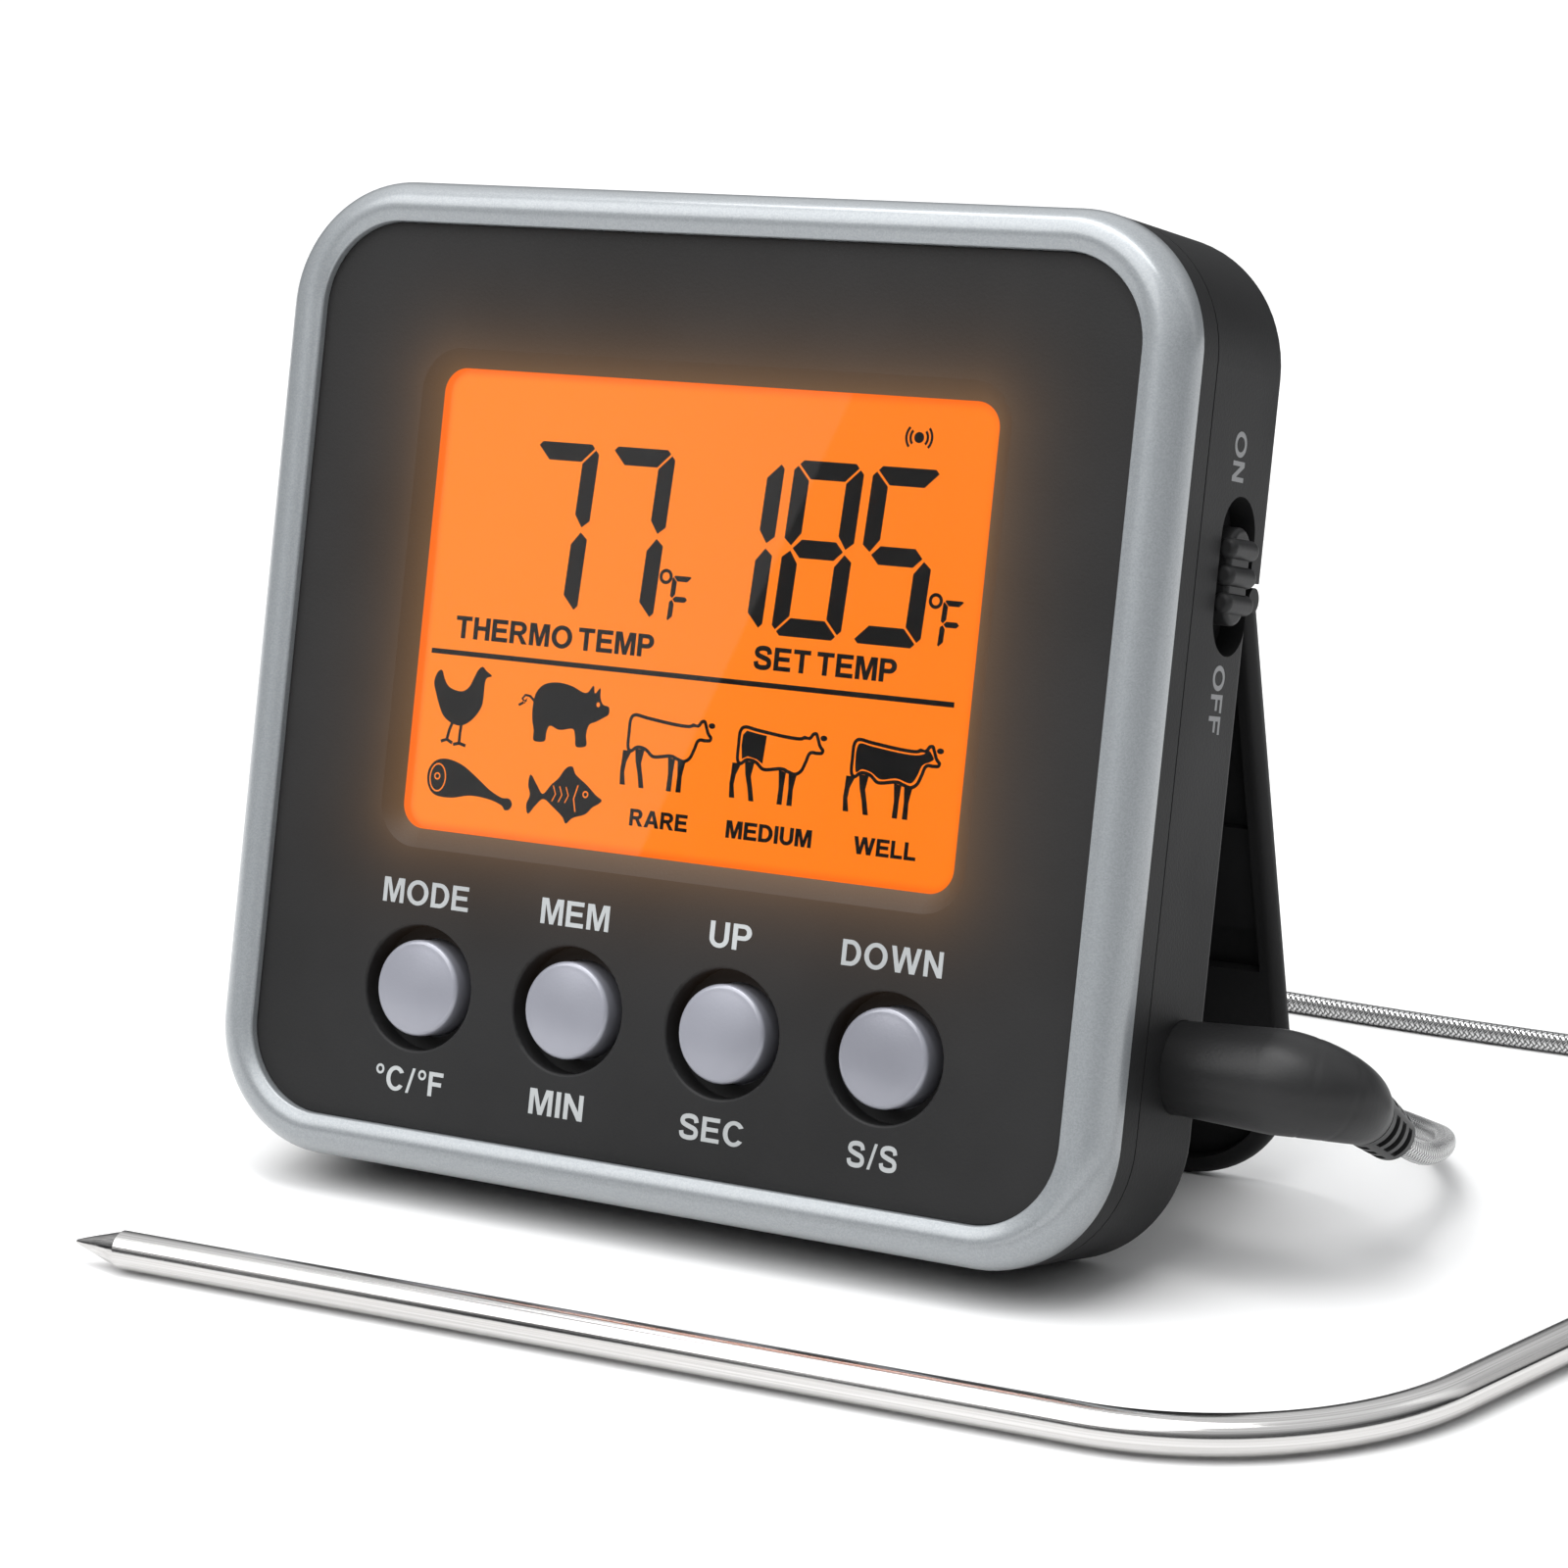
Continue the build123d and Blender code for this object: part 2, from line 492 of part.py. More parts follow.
PLUG_RUN = [(RELIEF_END.X, RELIEF_END.Y, RELIEF_END.Z),
            (RELIEF_END.X, RELIEF_END.Y + 5.0, RELIEF_END.Z - 3.064),
            (52.6, 26.6, 5.4),
            (50.6, 33.2, 4.2),
            (46.6, 40.0, 2.2),
            (39.6, 46.6, FLOOR_LAY),
            (28.0, 49.6, FLOOR_LAY),
            (16.0, 50.2, FLOOR_LAY),
            (4.2, 50.3, FLOOR_LAY),
            (-6.2, 51.8, FLOOR_LAY),
            (-13.4, 57.4, FLOOR_LAY),
            (-13.9, 67.0, FLOOR_LAY),
            (-7.0, 73.6, FLOOR_LAY),
            (4.0, 74.6, FLOOR_LAY),
            (18.0, 73.6, FLOOR_LAY),
            (31.0, 72.6, FLOOR_LAY),
            (45.0, 72.2, FLOOR_LAY),
            (58.0, 72.3, FLOOR_LAY),
            (68.0, 71.9, FLOOR_LAY + 0.3),
            (COIL_X, COIL_Y + COIL_R + 1.8, FLOOR_LAY + COIL_LIFT)]

PROBE_END = (79.2, 28.3)
PROBE_Z = COLLAR_R
PROBE_RUN = [(COIL_X + COIL_R, COIL_Y - 1.0, FLOOR_LAY + COIL_LIFT + 3 * CABLE_D),
             (COIL_X + COIL_R + 0.2, COIL_Y - 8.0, FLOOR_LAY + COIL_LIFT + 3 * CABLE_D),
             (COIL_X + COIL_R + 0.2, COIL_Y - 15.0, 4.6),
             (COIL_X + COIL_R - 1.4, COIL_Y - 22.0, 2.4),
             (PROBE_END[0] + 1.3, PROBE_END[1] + 5.354, PROBE_Z),
             (PROBE_END[0], PROBE_END[1], PROBE_Z)]


def corner_radii(points):
    """Radius of each corner: 0.45 of its shorter run over the tangent of half its turn."""
    radii = []
    for a, b, c in zip(points, points[1:], points[2:]):
        into = Vector(*b) - Vector(*a)
        away = Vector(*c) - Vector(*b)
        half = radians(into.get_angle(away)) / 2
        radii.append(0.45 * min(into.length, away.length) / tan(half))
    return radii


def lead_tube(points, name):
    """Round tube along straight runs joined by tangent arcs."""
    radii = corner_radii(points)
    path = FilletPolyline(*points, radius=radii)
    start = Plane(origin=points[0], z_dir=Vector(*points[1]) - Vector(*points[0]))
    tube = sweep(start * Circle(CABLE_D / 2), path=path)
    wanted = pi * (CABLE_D / 2) ** 2 * path.length
    print(name, "length", round(path.length, 1), "radii", [round(r, 1) for r in radii],
          "volume ratio", round(tube.volume / wanted, 4))
    keep(name, tube)
    return path.length


run_length = lead_tube(PLUG_RUN, "lead_tube_plug") + lead_tube(PROBE_RUN, "lead_tube_probe")

coil_low = COIL_LIFT + 0.02
coil_high = COIL_LIFT + COIL_ROWS * CABLE_D
coil_out = COIL_R + COIL_COLUMNS * CABLE_D / 2
coil_in = COIL_R - COIL_COLUMNS * CABLE_D / 2
ring = Pos(COIL_X, COIL_Y, (coil_low + coil_high) / 2) * (Cylinder(coil_out, coil_high - coil_low) -
                                                         Cylinder(coil_in, 20))
keep("lead_coil", fillet(ring.edges(), 0.85))

TIE_ANGLE = 215.0
TIE_T = 0.4
TIE_W = 3.0
TIE_ROOM = 0.3
tie_low = 0.05
tie_high = coil_high + 0.1 + TIE_T
tie = block(coil_in - TIE_ROOM - TIE_T, coil_out + TIE_ROOM + TIE_T, -TIE_W / 2, TIE_W / 2, tie_low, tie_high)
tie -= block(coil_in - TIE_ROOM, coil_out + TIE_ROOM, -9, 9, tie_low + TIE_T, tie_high - TIE_T)
tie += block(COIL_R - 1.2, COIL_R + 1.2, -0.6, 0.6, tie_high - 0.1, tie_high + 3.0)
keep("coil_tie", Pos(COIL_X, COIL_Y, 0) * Rot(Z=TIE_ANGLE) * tie)

# ---- probe ---------------------------------------------------------------------------------
TIP_AT = (-36.3, -31.1)
BEND_AT = (65.5, -28.2)
BEND_R = 22.0
POINT_LEN = 4.6
COLLAR_LEN = 7.0

shaft_way = Vector(BEND_AT[0] - TIP_AT[0], BEND_AT[1] - TIP_AT[1], 0).normalized()
handle_way = Vector(PROBE_END[0] - BEND_AT[0], PROBE_END[1] - BEND_AT[1], 0).normalized()
shaft_from = Vector(*TIP_AT, PROBE_Z) + shaft_way * POINT_LEN
handle_to = Vector(*PROBE_END, PROBE_Z) - handle_way * COLLAR_LEN
probe_path = FilletPolyline(shaft_from, Vector(*BEND_AT, PROBE_Z), handle_to, radius=BEND_R)
keep("probe_tube", sweep(Plane(origin=shaft_from, z_dir=shaft_way) * Circle(PROBE_R), path=probe_path))
point = loft([section(Vector(*TIP_AT, PROBE_Z), shaft_way, 0.15),
              section(shaft_from - shaft_way * 0.01, shaft_way, PROBE_R)])
keep("probe_tip", point)
collar = loft([section(handle_to + handle_way * 0.01, handle_way, COLLAR_R),
               section(handle_to + handle_way * (COLLAR_LEN - 0.01), handle_way, COLLAR_R)])
collar = fillet(collar.edges().filter_by(GeomType.CIRCLE), 0.3)
keep("probe_collar", collar)

# ---- shared origin: middle of the object's own footprint, the free lead left out ------------
LEAD = {"plug_body", "plug_pin", "strain_relief", "lead_tube_plug", "lead_coil", "lead_tube_probe", "coil_tie"}
own = [shape.bounding_box() for name, shape in made.items() if name not in LEAD]
mid_x = (min(b.min.X for b in own) + max(b.max.X for b in own)) / 2
mid_y = (min(b.min.Y for b in own) + max(b.max.Y for b in own)) / 2
os.makedirs("parts", exist_ok=True)
for name, shape in made.items():
    export_step(Pos(-mid_x, -mid_y, 0) * shape, f"parts/{name}.step")

print("middle of the footprint", round(mid_x, 4), round(mid_y, 4), "lowest", min(b.min.Z for b in own))
print("stand open", round(STAND_OPEN, 2), "rise", round(RISE, 3), "lead runs", round(run_length, 1))
print("hinge", HINGE_AT, "door pivot", place(0, DOOR_PIVOT_Y, DOOR_PIVOT_Z))
print("plug axis", PLUG_AT, "relief end", RELIEF_END, "probe length", round(probe_path.length, 1))
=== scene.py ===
import json
from math import cos, pi, radians, sin, tau

import bpy
import numpy as np
from mathutils import Matrix, Vector


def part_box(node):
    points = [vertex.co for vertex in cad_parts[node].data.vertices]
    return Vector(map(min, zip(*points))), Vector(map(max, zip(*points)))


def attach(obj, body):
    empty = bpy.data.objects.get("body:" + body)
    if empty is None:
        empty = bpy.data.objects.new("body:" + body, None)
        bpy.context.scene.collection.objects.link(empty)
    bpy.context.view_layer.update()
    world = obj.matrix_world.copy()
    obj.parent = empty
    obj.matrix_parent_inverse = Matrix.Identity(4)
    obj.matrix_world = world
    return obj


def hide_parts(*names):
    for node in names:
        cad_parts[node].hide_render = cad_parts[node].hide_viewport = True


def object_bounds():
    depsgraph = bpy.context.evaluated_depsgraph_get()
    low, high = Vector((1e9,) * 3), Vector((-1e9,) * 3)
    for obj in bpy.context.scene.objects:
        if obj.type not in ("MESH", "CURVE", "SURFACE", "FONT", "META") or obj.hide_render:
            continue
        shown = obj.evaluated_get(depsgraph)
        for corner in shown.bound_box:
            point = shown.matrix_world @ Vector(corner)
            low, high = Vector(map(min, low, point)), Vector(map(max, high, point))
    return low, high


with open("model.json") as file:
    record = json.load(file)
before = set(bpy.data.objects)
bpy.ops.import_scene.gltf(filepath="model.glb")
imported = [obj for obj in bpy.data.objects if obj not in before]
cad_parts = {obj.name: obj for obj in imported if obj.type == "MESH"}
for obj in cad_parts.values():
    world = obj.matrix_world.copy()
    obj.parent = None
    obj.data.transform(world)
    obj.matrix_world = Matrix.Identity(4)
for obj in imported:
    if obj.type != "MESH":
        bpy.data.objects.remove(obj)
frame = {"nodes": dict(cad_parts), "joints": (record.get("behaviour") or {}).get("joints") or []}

# Kitchen probe thermometer.  The case is described in its own upright frame, in millimetres: x to
# the right, y into its depth with the fascia at 0, z up with the fascia's centre at 0.  The lead
# and the probe are described on the table, in millimetres from under the case's middle.
cad_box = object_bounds()

# ---- table, light and camera ---------------------------------------------------------------
# A white sheet under a broad soft lamp, with a plain grey-white room round it.  The case leans
# back on its stand, so its own axes come from its joints.
MM = 0.001
joints = {joint["name"]: joint for joint in frame["joints"]}
hinge = np.array(joints["stand_fold"]["pos_m"])
case_axes = np.array([[1.0, 0.0, 0.0], joints["press_mode"]["axis"], joints["slide_power"]["axis"]])
HINGE_ON_CASE = np.array([0.0, 16.0, 12.15])
HINGE_ON_TABLE = np.array([0.0, 18.4363, 49.6138])


def on_case(points):
    """Upright case millimetres to metres: the hinge, plus x right, y inward and z up the case."""
    return hinge + (np.asarray(points, float) - HINGE_ON_CASE) * MM @ case_axes


def on_table(points):
    """Table millimetres to metres: a shift that puts the hinge where the frame has it."""
    return hinge + (np.asarray(points, float) - HINGE_ON_TABLE) * MM


def linked(name, data):
    """A new object in the scene."""
    thing = bpy.data.objects.new(name, data)
    bpy.context.scene.collection.objects.link(thing)
    return thing


CAMERA_AT = (173.02, -275.43, 112.47)
CAMERA_AZIMUTH, CAMERA_DROP, CAMERA_ROLL = 30.688, 13.401, -1.147
lens = bpy.data.cameras.new("camera")
lens.lens, lens.sensor_width = 99.18, 36.0
lens.clip_start, lens.clip_end = 0.01, 50.0
camera = linked("camera", lens)
camera.matrix_world = (Matrix.Translation(on_table(CAMERA_AT))
                       @ Matrix.Rotation(radians(CAMERA_AZIMUTH), 4, "Z")
                       @ Matrix.Rotation(radians(90 - CAMERA_DROP), 4, "X")
                       @ Matrix.Rotation(radians(CAMERA_ROLL), 4, "Z"))
bpy.context.scene.camera = camera
bpy.context.scene.view_settings.view_transform = "Standard"


def put(tree, kind, sockets=None, **settings):
    """Adds a node: settings are its own properties, sockets are values, or sockets to link."""
    node = tree.nodes.new(kind)
    for key, value in settings.items():
        setattr(node, key, value)
    for key, value in (sockets or {}).items():
        if isinstance(value, bpy.types.NodeSocket):
            tree.links.new(value, node.inputs[key])
        else:
            node.inputs[key].default_value = value
    return node


def math(tree, operation, *values):
    """One Math node's answer."""
    return put(tree, "ShaderNodeMath", dict(enumerate(values)), operation=operation).outputs[0]


def ramp(tree, value, low, high, to_low=0.0, to_high=1.0):
    """value from low..high to to_low..to_high, smooth and clamped."""
    node = put(tree, "ShaderNodeMapRange", {"Value": value, "From Min": low, "From Max": high,
                                            "To Min": to_low, "To Max": to_high},
               interpolation_type="SMOOTHSTEP")
    return node.outputs[0]


def tint(tree, share, first, second):
    """The colour first turning into second by share."""
    sockets = {0: share, 6: first, 7: second}
    for key in (6, 7):
        if not isinstance(sockets[key], bpy.types.NodeSocket):
            sockets[key] = (*sockets[key], 1.0)
    return put(tree, "ShaderNodeMix", sockets, data_type="RGBA").outputs[2]


def finish_of(name, colour, roughness, **sockets):
    """A material with one shader: returns the material, its node tree and the shader."""
    material = bpy.data.materials.new(name)
    material.use_nodes = True
    tree = material.node_tree
    shader = tree.nodes["Principled BSDF"]
    shader.inputs["Base Color"].default_value = (*colour, 1.0)
    shader.inputs["Roughness"].default_value = roughness
    for key, value in sockets.items():
        shader.inputs[key.replace("_", " ")].default_value = value
    return material, tree, shader


def feed(shader, **answers):
    """Links node answers to the shader's sockets."""
    for key, answer in answers.items():
        shader.id_data.links.new(answer, shader.inputs[key.replace("_", " ")])


def object_place(tree):
    """Object coordinates."""
    return put(tree, "ShaderNodeTexCoord").outputs["Object"]


def noise(tree, scale, detail=2.0, place=None):
    """Noise on object coordinates, or on another place."""
    sockets = {"Vector": place or object_place(tree), "Scale": scale, "Detail": detail}
    return put(tree, "ShaderNodeTexNoise", sockets).outputs["Fac"]


def bumped(tree, height, strength, distance):
    """A normal tilted by a height."""
    sockets = {"Height": height, "Strength": strength, "Distance": distance}
    return put(tree, "ShaderNodeBump", sockets).outputs[0]


def flat_sheet(name, corners, material):
    """One four-cornered face."""
    mesh = bpy.data.meshes.new(name)
    mesh.from_pydata(corners, [], [(0, 1, 2, 3)])
    mesh.materials.append(material)
    return linked(name, mesh)


room = bpy.data.worlds.new("room")
room.use_nodes = True
sky = put(room.node_tree, "ShaderNodeSeparateXYZ",
          {0: put(room.node_tree, "ShaderNodeTexCoord").outputs["Generated"]}).outputs["Z"]
wall_tone = tint(room.node_tree, ramp(room.node_tree, sky, 0.12, 0.8), (0.055, 0.057, 0.06),
                 (0.95, 0.96, 0.97))
room.node_tree.links.new(wall_tone, room.node_tree.nodes["Background"].inputs["Color"])
bpy.context.scene.world = room

table_white, tree, shader = finish_of("table_white", (0.86, 0.86, 0.86), 0.7)
mottle = put(tree, "ShaderNodeTexNoise", {"Scale": 9.0, "Detail": 3.0}).outputs["Fac"]
feed(shader, Base_Color=tint(tree, mottle, (0.85, 0.85, 0.85), (0.87, 0.87, 0.87)))
TABLE_HALF = 6.0
square = [(-TABLE_HALF, -TABLE_HALF), (TABLE_HALF, -TABLE_HALF), (TABLE_HALF, TABLE_HALF),
          (-TABLE_HALF, TABLE_HALF)]
table = flat_sheet("table", [(x, y, cad_box[0].z) for x, y in square], table_white)


def lamp(name, at, aim, size, power, kind="AREA"):
    """A soft lamp at a table place in metres, aimed at another."""
    data = bpy.data.lights.new(name, kind)
    data.energy = power
    if kind == "SUN":
        data.angle = size
    else:
        data.shape, data.size, data.size_y = "RECTANGLE", *size
    light = linked(name, data)
    light.location = at
    light.rotation_mode = "QUATERNION"
    light.rotation_quaternion = (Vector(aim) - Vector(at)).to_track_quat("-Z", "Y")


lamp("ceiling", (-0.4, -0.85, 1.15), (0, 0, 0), radians(58), 2.15, "SUN")
lamp("rear_strip", (0.75, 0.5, 0.5), (0, 0, 0.04), (0.25, 0.8), 0.35)
lamp("top_strip", (-0.06, -0.1, 0.8), (0, 0, 0.04), (0.9, 0.13), 3.4)

# A pale card in front, left of the camera.  It is laid out on the display window, in the mirror
# image that the window gives of it: its straight edge runs down across the figures.
WINDOW_DEPTH, CARD_BEYOND = 1.0, 0.5
CARD_ON_WINDOW = [(12.7, 26.0), (-3.0, -13.0), (-27.0, -13.0), (-27.0, 26.0)]
on_window = on_case([(x, WINDOW_DEPTH, z) for x, z in CARD_ON_WINDOW])
camera_at = np.array(camera.location)
mirrored = camera_at - 2 * ((camera_at - on_window[0]) @ case_axes[1]) * case_axes[1]
sight = on_window - mirrored
reach = np.linalg.norm(sight, axis=1, keepdims=True)
card_paper, tree, shader = finish_of("card_paper", (0.0, 0.0, 0.0), 1.0, Emission_Strength=0.42)
fibre = put(tree, "ShaderNodeTexNoise", {"Scale": 3.0}).outputs["Fac"]
feed(shader, Emission_Color=tint(tree, fibre, (0.95, 0.96, 1.0), (1.0, 0.99, 0.97)))
card = flat_sheet("pale_card", (mirrored + sight * (1 + CARD_BEYOND / reach)).tolist(), card_paper)

# ---- lead: steel braid over the probe's wires ----------------------------------------------
# A 1.8 mm lead in fine stainless braid.  It leaves the plug backwards and down, turns behind the
# stand, comes out again to the right, and its spare length is wound into one tied coil.
LEAD_R = 0.9
RELIEF_END = (52.9, 15.9770, 9.8411)
PLUG_RUN = [RELIEF_END, (52.9, 20.9770, 6.7771), (52.6, 26.6, 5.4), (50.6, 33.2, 4.2), (46.6, 40.0, 2.2),
            (39.6, 46.6, 0.9), (28.0, 49.6, 0.9), (16.0, 50.2, 0.9), (4.2, 50.3, 0.9), (-6.2, 51.8, 0.9),
            (-13.4, 57.4, 0.9), (-13.9, 67.0, 0.9), (-7.0, 73.6, 0.9), (4.0, 74.6, 0.9), (18.0, 73.6, 0.9),
            (31.0, 72.6, 0.9), (45.0, 72.2, 0.9), (58.0, 72.3, 0.9), (68.0, 71.9, 1.2), (76.0, 71.8, 1.4)]
PROBE_RUN = [(86.0, 59.0, 6.8), (86.2, 52.0, 6.8), (86.2, 45.0, 4.6), (84.6, 38.0, 2.4),
             (80.5, 33.654, 1.75), (79.2, 28.3, 1.75)]
COIL_AT = np.array([76.0, 60.0])
COLUMNS = [11.8, 10.0, 8.2, 8.2, 10.0, 11.8, 11.8, 10.0, 8.2, 8.2, 10.0, 10.0]
ROWS = [0, 0, 0, 1, 1, 1, 2, 2, 2, 3, 3, 3]
TURNS, TURN_POINTS, EASE_FROM = 11.25, 16, 0.75
ROW_UP, ROW_PITCH = 1.4, 1.8


def coil_points():
    """Clockwise turns: each keeps its column and row, then eases into the next over its last quarter."""
    step = np.arange(1, int(TURNS * TURN_POINTS))
    turn = step // TURN_POINTS
    ease = np.clip((step / TURN_POINTS - turn - EASE_FROM) / (1 - EASE_FROM), 0, 1)
    ease = ease * ease * (3 - 2 * ease)
    after = np.minimum(turn + 1, len(ROWS) - 1)
    column, row = np.array(COLUMNS), np.array(ROWS)
    radius = (column[turn] * (1 - ease) + column[after] * ease) / cos(pi / TURN_POINTS)
    height = ROW_UP + ROW_PITCH * (row[turn] * (1 - ease) + row[after] * ease)
    angle = step * tau / TURN_POINTS
    return np.column_stack([COIL_AT[0] + radius * np.sin(angle), COIL_AT[1] + radius * np.cos(angle), height])


route = on_table(np.concatenate([PLUG_RUN, coil_points(), PROBE_RUN]))
line = bpy.data.curves.new("lead_line", "CURVE")
line.dimensions = "3D"
line.resolution_u = 8
spline = line.splines.new("NURBS")
spline.points.add(len(route) - 1)
spline.points.foreach_set("co", np.column_stack([route, np.ones(len(route))]).ravel())
spline.order_u = 3
spline.use_endpoint_u = True
line_object = bpy.data.objects.new("lead_line", line)
line_mesh = bpy.data.meshes.new_from_object(line_object)
lead_path = np.array([v.co for v in line_mesh.vertices])
bpy.data.objects.remove(line_object)
bpy.data.meshes.remove(line_mesh)


def evenly(path, spacing):
    """The same path with its points a constant distance apart along it."""
    along = np.concatenate([[0], np.cumsum(np.linalg.norm(np.diff(path, axis=0), axis=1))])
    places = np.linspace(0, along[-1], int(along[-1] / spacing) + 1)
    return np.column_stack([np.interp(places, along, path[:, k]) for k in range(3)]), along[-1]


def unit(vectors):
    """Each vector at length 1."""
    return vectors / np.linalg.norm(vectors, axis=-1, keepdims=True)


def enclosed(points, faces):
    """Volume inside a closed skin, a sixth of the sum of corner triple products over a fan of each
    face: it is negative if the faces point inwards."""
    total = 0.0
    for corners in {len(face) for face in faces}:
        ring = points[np.array([face for face in faces if len(face) == corners])]
        for k in range(1, corners - 1):
            total += np.einsum("ij,ij->", ring[:, 0], np.cross(ring[:, k], ring[:, k + 1]))
    return total / 6


def add_piece(name, points, material, body, along=False):
    """Skins a grid of points (rows, columns, 3): quads between neighbours, the last column joined
    to the first.  With along the last row joins the first too, or else both end rows are filled.
    Its UV map is the row and the column as fractions."""
    rows, columns = points.shape[:2]
    row, column = np.meshgrid(np.arange(rows if along else rows - 1), np.arange(columns), indexing="ij")
    flat = points.reshape(-1, 3)
    square = np.array([(0, 0), (1, 0), (1, 1), (0, 1)])
    ends = [] if along else [list(range(columns)),
                             list(range(rows * columns - 1, (rows - 1) * columns - 1, -1))]

    def quads():
        down, across = row[..., None] + square[:, 0], column[..., None] + square[:, 1]
        return (down % rows * columns + across % columns).reshape(-1, 4).tolist()

    if enclosed(flat - flat.mean(0), quads() + ends) < 0:
        square = square[::-1]
        ends = [end[::-1] for end in ends]
    uv = np.stack([(row[..., None] + square[:, 0]) / max(rows - 1, 1),
                   (column[..., None] + square[:, 1]) / columns], axis=-1).reshape(-1, 2)
    uv = np.concatenate([uv, np.zeros((sum(map(len, ends)), 2))])
    mesh = bpy.data.meshes.new(name)
    mesh.from_pydata(flat.tolist(), [], quads() + ends)
    mesh.uv_layers.new(name="run").data.foreach_set("uv", uv.ravel())
    return ride_piece(name, mesh, material, body)


def ride_piece(name, mesh, material, body, smooth=True):
    """Makes a mesh a piece in one material that moves with a body."""
    mesh.materials.append(material)
    if smooth:
        mesh.shade_smooth()
        mesh.set_sharp_from_angle(angle=radians(35))
    piece = linked(name, mesh)
    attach(piece, body)
    return piece


def pipe(path, radius, sides, level=(0, 0, 1.0)):
    """Circles carried along a path that never runs along level: centre + r (cos a side + sin a up).
    The radius is one number, one for each row, or one for each row and column."""
    way = unit(np.gradient(path, axis=0))
    side = unit(np.cross(way, level))
    up = np.cross(side, way)
    angle = np.linspace(0, tau, sides, endpoint=False)[:, None]
    radius = np.asarray(radius, float)
    radius = np.broadcast_to(radius[:, None] if radius.ndim == 1 else radius, (len(path), sides))[..., None]
    return path[:, None] + radius * (np.cos(angle) * side[:, None] + np.sin(angle) * up[:, None])


LEAD_SIDES, LEAD_STEP = 24, 0.0005
BRAID_ENDS, BRAID_LEAD = 8, 0.0042     # wire bundles each way round, and the length of one turn
lead_line, lead_length = evenly(lead_path, LEAD_STEP)

braid, tree, shader = finish_of("steel_braid", (0.6, 0.6, 0.6), 0.3, Metallic=1.0)
run = put(tree, "ShaderNodeSeparateXYZ", {0: put(tree, "ShaderNodeUVMap").outputs[0]})
turns_along = math(tree, "MULTIPLY", run.outputs[0], lead_length / BRAID_LEAD * BRAID_ENDS)
turns_round = math(tree, "MULTIPLY", run.outputs[1], float(BRAID_ENDS))
ends_one = math(tree, "ADD", turns_along, turns_round)
ends_two = math(tree, "SUBTRACT", turns_along, turns_round)
crossings = math(tree, "ADD", math(tree, "FLOOR", ends_one), math(tree, "FLOOR", ends_two))
picked = put(tree, "ShaderNodeMix", {0: math(tree, "PINGPONG", crossings, 1.0),
                                     2: math(tree, "PINGPONG", ends_one, 0.5),
                                     3: math(tree, "PINGPONG", ends_two, 0.5)}).outputs[0]
# The bundles' edges, where they dip under one another, turn dark: painted shade between the wires; the same
# value raises the bump.
raised_and_shaded = ramp(tree, picked, 0.02, 0.34)
feed(shader, Base_Color=tint(tree, raised_and_shaded, (0.10, 0.10, 0.10), (0.66, 0.66, 0.66)),
     Roughness=ramp(tree, picked, 0.0, 0.5, 0.42, 0.24), Normal=bumped(tree, raised_and_shaded, 0.9, 0.00012))

lead = add_piece("lead_braid", pipe(lead_line, LEAD_R * MM, LEAD_SIDES), braid, "probe_lead")
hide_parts("lead_tube_plug", "lead_coil", "lead_tube_probe")

# ---- plug: soft black moulding round a 2.5 mm jack ------------------------------------------
# One moulded elbow: a slightly flared barrel in the case's hole, a tight bend back and down, and
# a nose.  Two fine mould lines run round it.
pin_low, pin_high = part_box("plug_pin")
plug_axis = (np.array(pin_low) + np.array(pin_high)) / 2
ELBOW_R, DROOP = 4.6, radians(31.5)
lead_way = np.array([0, cos(DROOP), -sin(DROOP)])
plug_level = np.array([0, sin(DROOP), cos(DROOP)])
BARREL_FROM, BARREL_TO, NOSE_LEN, RELIEF_LEN = 38.6, 48.3, 1.7, 6.4
BARREL_R, FLARE, PINCH, NOSE_TAPER, END_ROUND = 3.45, 0.5, 1.1, 0.38, 0.45
LINE_DEPTH, LINE_HALF, PLUG_SIDES = 0.05, 0.09, 96


def elbow_path():
    """Straight barrel along x, a quarter turn of ELBOW_R towards the lead's way, a short straight nose."""
    straight = np.linspace(BARREL_FROM, BARREL_TO, 60)
    turn = np.linspace(0, pi / 2, 50)[1:]
    nose = np.linspace(0, NOSE_LEN, 14)[1:]
    right = np.array([1.0, 0, 0])
    barrel = np.outer(straight, right)
    bend = np.outer(BARREL_TO + ELBOW_R * np.sin(turn), right)
    bend += np.outer(ELBOW_R * (1 - np.cos(turn)), lead_way)
    end = bend[-1] + lead_way * nose[:, None]
    path = np.concatenate([barrel, bend, end])
    return path + [0, *((plug_axis[1:] - on_table((0, 0, 0))[1:]) / MM)]


plug_path = elbow_path()
run_mm = np.concatenate([[0], np.cumsum(np.linalg.norm(np.diff(plug_path, axis=0), axis=1))])
barrel_len = BARREL_TO - BARREL_FROM
bend_len = ELBOW_R * pi / 2
flare = BARREL_R + FLARE * np.clip(run_mm / barrel_len, 0, 1)
pinch = PINCH * np.clip((run_mm - barrel_len) / bend_len, 0, 1) ** 1.6
taper = NOSE_TAPER * np.clip((run_mm - barrel_len - bend_len) / NOSE_LEN, 0, 1)
LINES_AT = (barrel_len + 2.3, barrel_len + 0.62 * bend_len)
mould_lines = sum(LINE_DEPTH * np.exp(-((run_mm - at) / LINE_HALF) ** 2) for at in LINES_AT)


def rounding(from_end, radius):
    """How far a rounded edge falls short of the full radius, by the distance from the end."""
    return radius * (1 - np.sqrt(1 - np.clip(1 - from_end / radius, 0, 1) ** 2))


plug_radius = flare - pinch - taper - mould_lines
plug_radius -= rounding(run_mm, END_ROUND) + rounding(run_mm[-1] - run_mm, END_ROUND)


